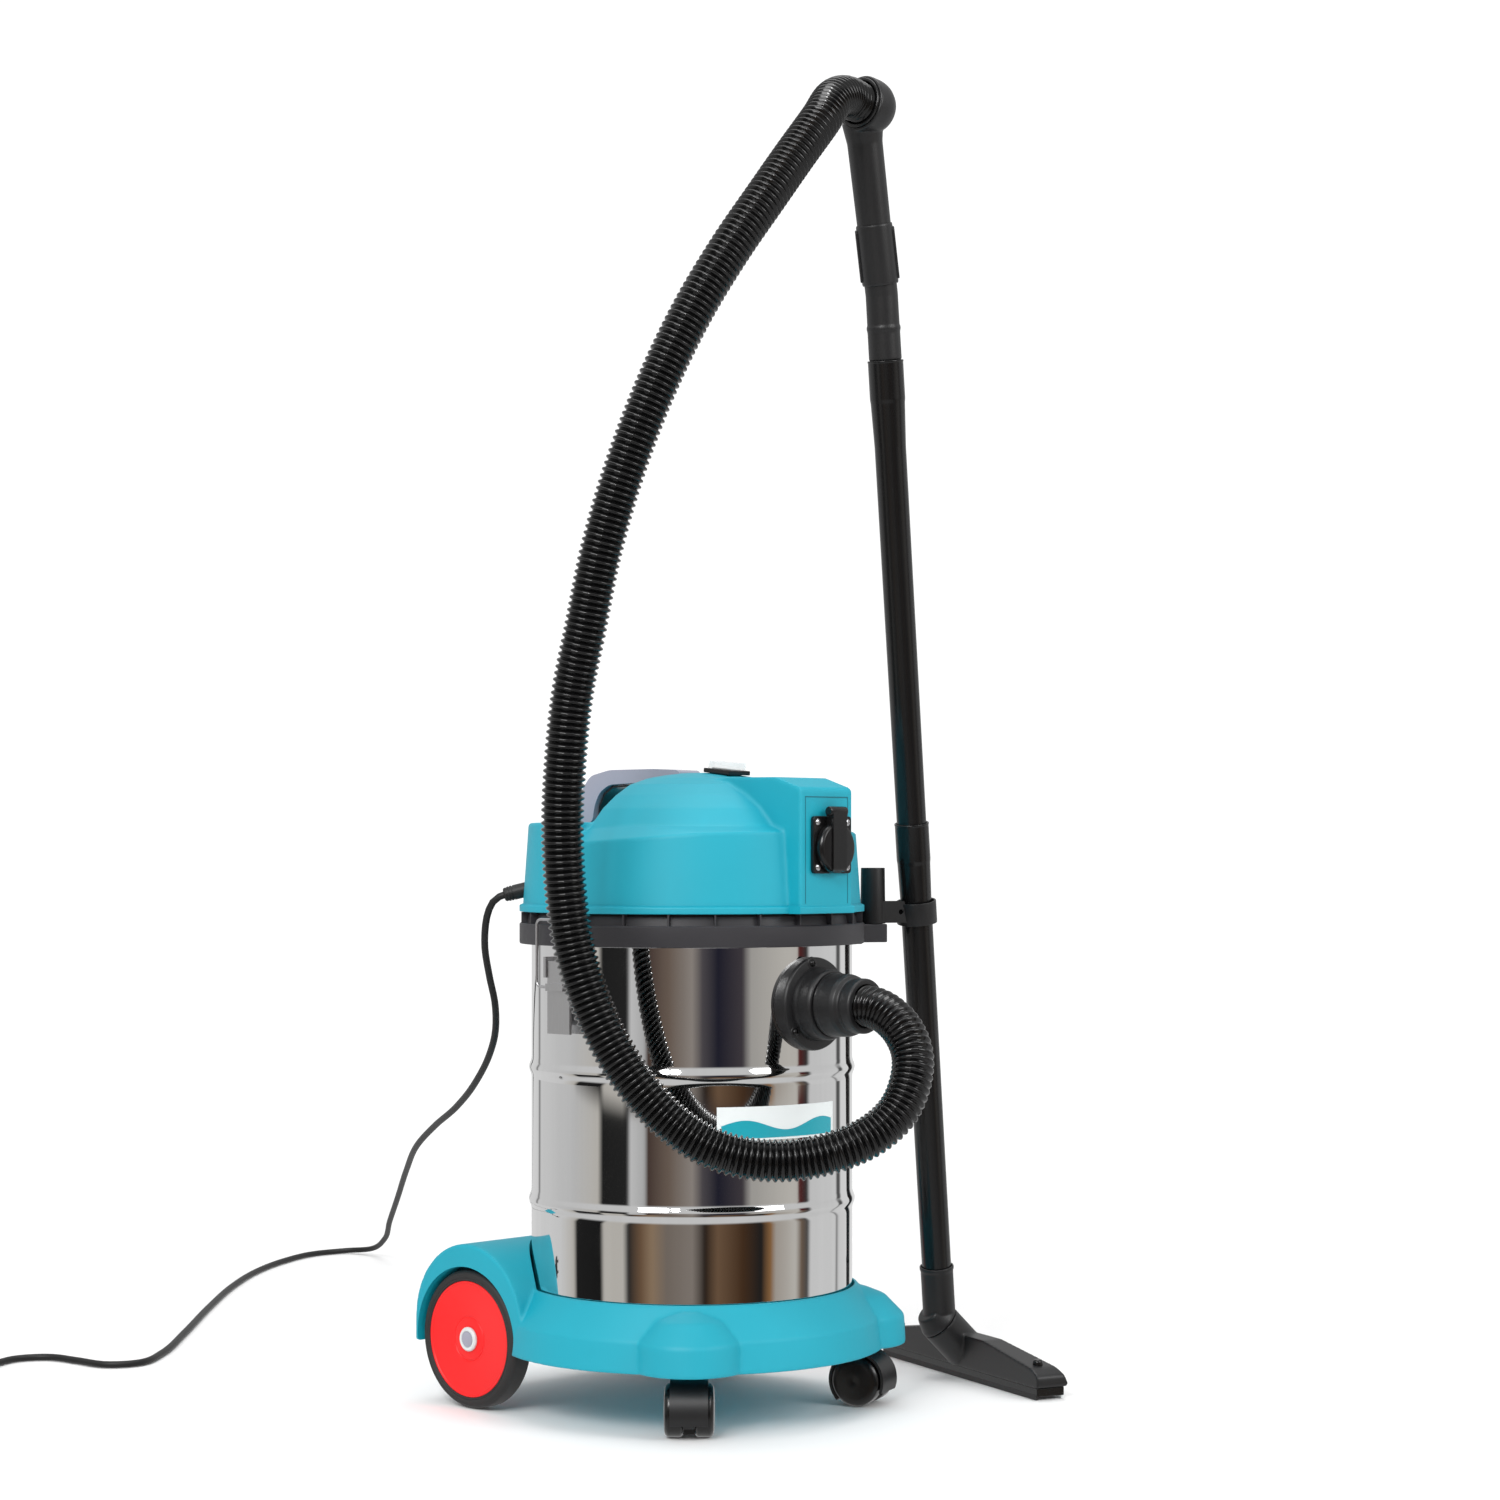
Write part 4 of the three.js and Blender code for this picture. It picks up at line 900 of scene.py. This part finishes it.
def add_grip():
    bend = WAND_FOOT + WAND_UP * HANDLE_BEND_S
    up = (HANDLE_TOP - bend).normalized()
    length = (HANDLE_TOP - bend).length
    lower = [(0, HANDLE_S - 36), (14.2, HANDLE_S - 36), (14.8, HANDLE_S), (16.3, HANDLE_S + 0.6),
             (16.2, HANDLE_S + 28), (16.9, HANDLE_S + 30), (16.9, HANDLE_S + 33), (16.1, HANDLE_S + 34),
             (16, HANDLE_BEND_S + 3), (0, HANDLE_BEND_S + 3)]
    spigot = on_wand(fillet(lower, 0.8, 3))
    upper = [(0, -4), (16, -4), (16.1, 6), (17.4, length), (20.5, length + 20), (0, length + 24)]
    upper = aimed(lathe(fillet(upper, 1.5, 4), 72), up, bend)
    hood = [(0, -22), (13, -19.5), (21, -13.5), (25.6, -5), (27, 2), (27, 15), (26.2, 16), (0, 16)]
    collar = aimed(lathe(fillet(hood, 3, 4), 96), COLLAR_AXIS, COLLAR_CENTRE)
    skin = moulded(merged(spigot, upper, collar), 0.9, 3)
    mouth = aimed(disc(24.7, -3.5, 30, 96), COLLAR_AXIS, COLLAR_CENTRE)
    bores = [on_wand([(0, HANDLE_S - 60), (12.6, HANDLE_S - 60), (12.6, HANDLE_BEND_S), (0, HANDLE_BEND_S)]),
             aimed(disc(12.6, 0, length + 18, 48), up, bend)]
    finish_piece("grip_tube", combined(skin, [mouth, *bores]), "black", "wand", ["hose_handle"], smooth=34)
    ring = tube_of(20.8, 24.3, -3, 19, 1.2, 96)
    finish_piece("swivel_ring", aimed(ring, COLLAR_AXIS, COLLAR_CENTRE), "gloss_black", "wand",
                 ["hose_swivel_ring"])
    sleeve = [(16.9, 10.2), (17.6, 10.2), (18, 12), (18, 67), (17.6, 68.8), (16.9, 68.8)]
    sleeve = lathe(fillet(sleeve, 0.4, 3, closed=True), 96)
    lugs = []
    for angle in (-0.81, -0.81 + math.pi):
        lug = prism(fillet([(-5.5, 14), (5.5, 14), (5.5, 65), (-5.5, 65)], 4, 5, closed=True), 17, 19.3)
        lugs.append(moved(lug, Matrix.Rotation(angle, 4, "Z")))
    finish_piece("regulator_sleeve", aimed(merged(sleeve, *lugs), up, bend), "black", "air_regulator",
                 ["air_regulator"], bevel=0.5)


def swivel_axis():
    rear = Vector((-math.cos(NOZZLE_YAW), -math.sin(NOZZLE_YAW), 0))
    return (rear + Vector((0, 0, 1))).normalized()


def add_neck():
    axis = swivel_axis()
    cuff = on_wand(fillet([(0, -86), (17, -86), (17, -5), (17.9, -3.6), (17.9, 0), (0, 0)], 0.7, 3))
    flare = lathe(fillet([(0, 0.3), (21.3, 0.3), (21.3, 3), (15, 18), (0, 18)], 2, 4), 72)
    flare = aimed(flare, axis, SWIVEL_CENTRE)
    cuff = combined(cuff, [aimed(disc(90, -110, 0.3, 24), axis, SWIVEL_CENTRE)])
    skin = moulded(merged(cuff, flare), 0.9, 3)
    bore = on_wand([(0, -36), (16.3, -36), (16.3, 5), (0, 5)], 72)
    finish_piece("neck_elbow", combined(skin, [bore]), "black", "wand", ["nozzle_neck"], smooth=34)


def in_nozzle(bm):
    turn = Matrix.Rotation(NOZZLE_YAW - math.pi / 2, 4, "Z")
    return moved(bm, Matrix.Translation(NOZZLE_CENTRE) @ turn)


def add_nozzle():
    half = NOZZLE_L / 2
    deep = NOZZLE_W / 2
    flip = Matrix.Rotation(-math.pi / 2, 4, "Z")
    crown = [(-half, 12), (half, 12), (half, 24), (half - 12, 31), (56, 46), (-56, 46), (12 - half, 31),
             (-half, 24)]
    body = moved(prism(fillet(crown, 4, 4, closed=True), -deep, deep), flip)
    # The front face leans back from the lower edge to the ridge.
    lean = Matrix.Translation((0, deep - 0.5, 18)) @ Matrix.Rotation(0.42, 4, "X")
    body = combined(body, [moved(slab((-220, 0, -10), (220, 60, 80)), lean)])
    boss = aimed(lathe([(0, -62), (21.3, -62), (21.3, -0.3), (0, -0.3)], 72), swivel_axis(), SWIVEL_CENTRE)
    floor_cut = slab((180, -420, -80), (520, 220, 12.2))
    slot_cut = in_nozzle(slab((22 - half, -8, 0), (half - 22, 8, 22)))
    whole = combined(moulded(merged(in_nozzle(body), boss), 1.2, 4), [floor_cut, slot_cut])
    finish_piece("nozzle_shell", whole, "black", "nozzle", ["nozzle_body"], smooth=34)
    carrier = combined(slab((4 - half, 2 - deep, 3.2), (half - 4, deep - 2, 11.9)),
                       [slab((17 - half, -9, -1), (half - 17, 9, 20))])
    finish_piece("nozzle_carrier", in_nozzle(carrier), "gloss_black", "nozzle", ["nozzle_insert"],
                 bevel=0.8)
    for name, y, material in (("rear", 3 - deep, "tyre"), ("front", deep - 3, "white")):
        blade = slab((6 - half, y - 1.2, 0), (half - 6, y + 1.2, 5))
        finish_piece(f"nozzle_blade_{name}", in_nozzle(blade), material, "nozzle")
    for k, x in enumerate((22 - half, half - 22)):
        knob = lathe(fillet([(0, 0), (5, 0), (5, 5), (3.4, 7), (0, 7)], 1.2, 3), 40)
        finish_piece(f"nozzle_knob_{k}", in_nozzle(shifted(knob, x, -4, 31)), "gloss_black", "nozzle")


add_grip()
add_tube("tube_upper", TUBE_JOINT_S + 0.3, HANDLE_S, 15.1, 17.6, "upper_tube")
add_tube("tube_lower", 0.3, TUBE_JOINT_S, 15.3, 17.3, "lower_tube")
add_neck()
add_nozzle()

# ---- Finishes of the CAD pieces that stay ----
KEPT = {
    "rear_axle": "zinc", "caster_pin_left": "zinc", "caster_pin_right": "zinc", "mains_plug": "cord",
    "latch_bracket_left": "steel", "latch_bracket_right": "steel", "latch_lever_left": "steel",
    "latch_lever_right": "steel", "drum_seal": "tyre", "rocker_power": "gloss_black",
    "rocker_mode": "gloss_black", "motor_casing": "steel", "motor_field": "copper", "upper_bearing": "zinc",
    "motor_shaft": "zinc", "armature": "copper", "fan_impeller": "steel", "filter_cage": "black",
    "filter_sleeve": "cloth", "float_ball": "white",
}


def finish_kept_nodes():
    for name, material in KEPT.items():
        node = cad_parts[name]
        node.data.materials.clear()
        node.data.materials.append(MATERIALS[material])
        edge = node.modifiers.new("edge", "BEVEL")
        edge.width = 0.5 * MM
        edge.segments = 2
        edge.limit_method = "ANGLE"
        edge.angle_limit = math.radians(40)


finish_kept_nodes()


# ---- Studio ----
def add_floor():
    """A white floor that fades into the backdrop; mirrors see the room through it."""
    bpy.ops.mesh.primitive_plane_add(size=30, location=(0, 0, -0.0005))
    floor = bpy.context.object
    floor.name = "floor"
    material = bpy.data.materials.new("floor")
    n = Nodes(material)
    where = n.add("ShaderNodeTexCoord").outputs["Object"]
    speck = n.add("ShaderNodeTexNoise", {"Vector": where, "Scale": 2.0}).outputs["Fac"]
    colour = n.ramp(speck, [(0.3, (0.91, 0.91, 0.91)), (0.7, (0.93, 0.93, 0.93))])
    paper = n.add("ShaderNodeBsdfPrincipled", {"Base Color": colour, "Roughness": 0.6,
                  "Specular IOR Level": 0.2})
    far = n.add("ShaderNodeVectorMath", {0: where}, operation="LENGTH").outputs["Value"]
    fade = n.add("ShaderNodeMapRange", {"Value": far, "From Min": 1.3, "From Max": 2.2}).outputs[0]
    gone = n.math("MAXIMUM", fade, n.add("ShaderNodeLightPath").outputs["Is Glossy Ray"])
    clear = n.add("ShaderNodeBsdfTransparent")
    mix = n.add("ShaderNodeMixShader", {0: gone, 1: paper.outputs[0], 2: clear.outputs[0]})
    n.add("ShaderNodeOutputMaterial", {"Surface": mix.outputs[0]})
    floor.data.materials.append(material)


def room_band(n, share, stops):
    """A ramp round the room; a stop's colour is a tuple or a single grey."""
    return n.ramp(share, [(at, tone if isinstance(tone, tuple) else (tone,) * 3) for at, tone in stops])


def add_world():
    """A bright even room; mirrors see dark doorways and warm furniture in it."""
    world = bpy.data.worlds.new("room")
    bpy.context.scene.world = world
    n = Nodes(world)
    way = n.add("ShaderNodeTexCoord").outputs["Generated"]
    parts = n.add("ShaderNodeSeparateXYZ", {"Vector": way}).outputs
    turn = n.math("DIVIDE", n.math("ARCTAN2", parts[1], parts[0]), 2 * math.pi)
    # Shares of a turn, anticlockwise from straight behind the machine; the camera's side is at a half.
    share = n.math("FRACT", n.math("ADD", turn, 2 - 0.124))
    beige = (0.68, 0.65, 0.60)
    brown = (0.20, 0.12, 0.07)
    walls = room_band(n, share, [
        (0.0, 0.95), (0.10, 0.9), (0.108, 0.2), (0.118, 0.85), (0.24, 0.72), (0.305, beige), (0.315, 0.02),
        (0.37, 0.025), (0.378, 0.75), (0.405, 0.6), (0.414, (0.09, 0.06, 0.05)), (0.455, (0.2, 0.15, 0.12)),
        (0.5, (0.36, 0.32, 0.29)), (0.52, (0.1, 0.09, 0.1)), (0.55, (0.02, 0.02, 0.035)),
        (0.6, (0.07, 0.06, 0.07)), (0.617, (0.5, 0.48, 0.45)), (0.7, beige), (0.722, beige),
        (0.727, (0.12, 0.02, 0.02)), (0.748, 0.05), (0.757, 0.8), (0.845, 0.85), (0.852, 0.12),
        (0.862, 0.12), (0.87, 0.95), (0.915, 0.95), (0.92, 0.1),
        (0.93, 0.1), (0.938, 1.0), (1.0, 1.0)])
    furniture = room_band(n, share, [
        (0.0, 0.95), (0.2, 0.85), (0.24, beige), (0.25, 0.02), (0.31, 0.015), (0.318, beige), (0.36, beige),
        (0.372, 0.03), (0.398, brown), (0.42, (0.36, 0.25, 0.16)), (0.45, (0.24, 0.2, 0.17)),
        (0.5, (0.30, 0.26, 0.23)), (0.525, (0.03, 0.02, 0.015)), (0.55, brown), (0.6, (0.08, 0.04, 0.02)),
        (0.64, 0.02), (0.66, (0.33, 0.17, 0.07)), (0.672, (0.5, 0.45, 0.4)), (0.72, beige),
        (0.735, (0.2, 0.14, 0.1)), (0.752, 0.1), (0.76, 0.85), (0.845, 0.85), (0.852, 0.3), (0.862, 0.85),
        (0.915, 0.95), (0.92, 0.1), (0.93, 0.1), (0.938, 1.0), (1.0, 1.0)])
    height = parts[2]
    low = n.add("ShaderNodeMapRange", {"Value": height, "From Min": -0.118, "From Max": -0.108}).outputs[0]
    room = n.add("ShaderNodeMixRGB", {"Fac": low, "Color1": furniture, "Color2": walls}).outputs[0]
    ceiling = n.add("ShaderNodeMapRange", {"Value": height, "From Min": 0.12, "From Max": 0.3}).outputs[0]
    paper = n.add("ShaderNodeMapRange", {"Value": height, "From Min": -0.32, "From Max": -0.5}).outputs[0]
    bright = n.math("MAXIMUM", ceiling, paper)
    pale = (0.8, 0.8, 0.8, 1)
    mirrored = n.add("ShaderNodeMixRGB", {"Fac": bright, "Color1": room, "Color2": pale}).outputs[0]
    path = n.add("ShaderNodeLightPath").outputs
    white = (1, 1, 1, 1)
    seen = n.add("ShaderNodeMixRGB", {"Fac": path["Is Glossy Ray"], "Color1": white, "Color2": mirrored})
    strength = n.math("ADD", n.math("MULTIPLY", path["Is Camera Ray"], 0.35), 0.75)
    back = n.add("ShaderNodeBackground", {"Color": seen.outputs[0], "Strength": strength})
    n.add("ShaderNodeOutputWorld", {"Surface": back.outputs[0]})


def add_light(name, at, target, size, power):
    data = bpy.data.lights.new(name, "AREA")
    data.shape = "RECTANGLE"
    data.size, data.size_y = size
    data.energy = power
    light = bpy.data.objects.new(name, data)
    light.location = at
    light.rotation_euler = (Vector(target) - Vector(at)).to_track_quat("-Z", "Y").to_euler()
    bpy.context.collection.objects.link(light)


add_floor()
add_world()
add_light("key", (-3.2, -0.9, 2.6), (0, 0, 0.5), (1.4, 2.0), 60)
add_light("fill", (0.6, -3.4, 2.2), (0, 0, 0.5), (1.6, 1.4), 40)
add_light("top", (0.2, 0.2, 3.6), (0, 0, 0.4), (2.4, 2.4), 42)
add_light("strip", (-2.8, -1.7, 2.3), (0, 0, 0.7), (0.3, 0.8), 26)
bpy.context.scene.view_settings.view_transform = "Standard"
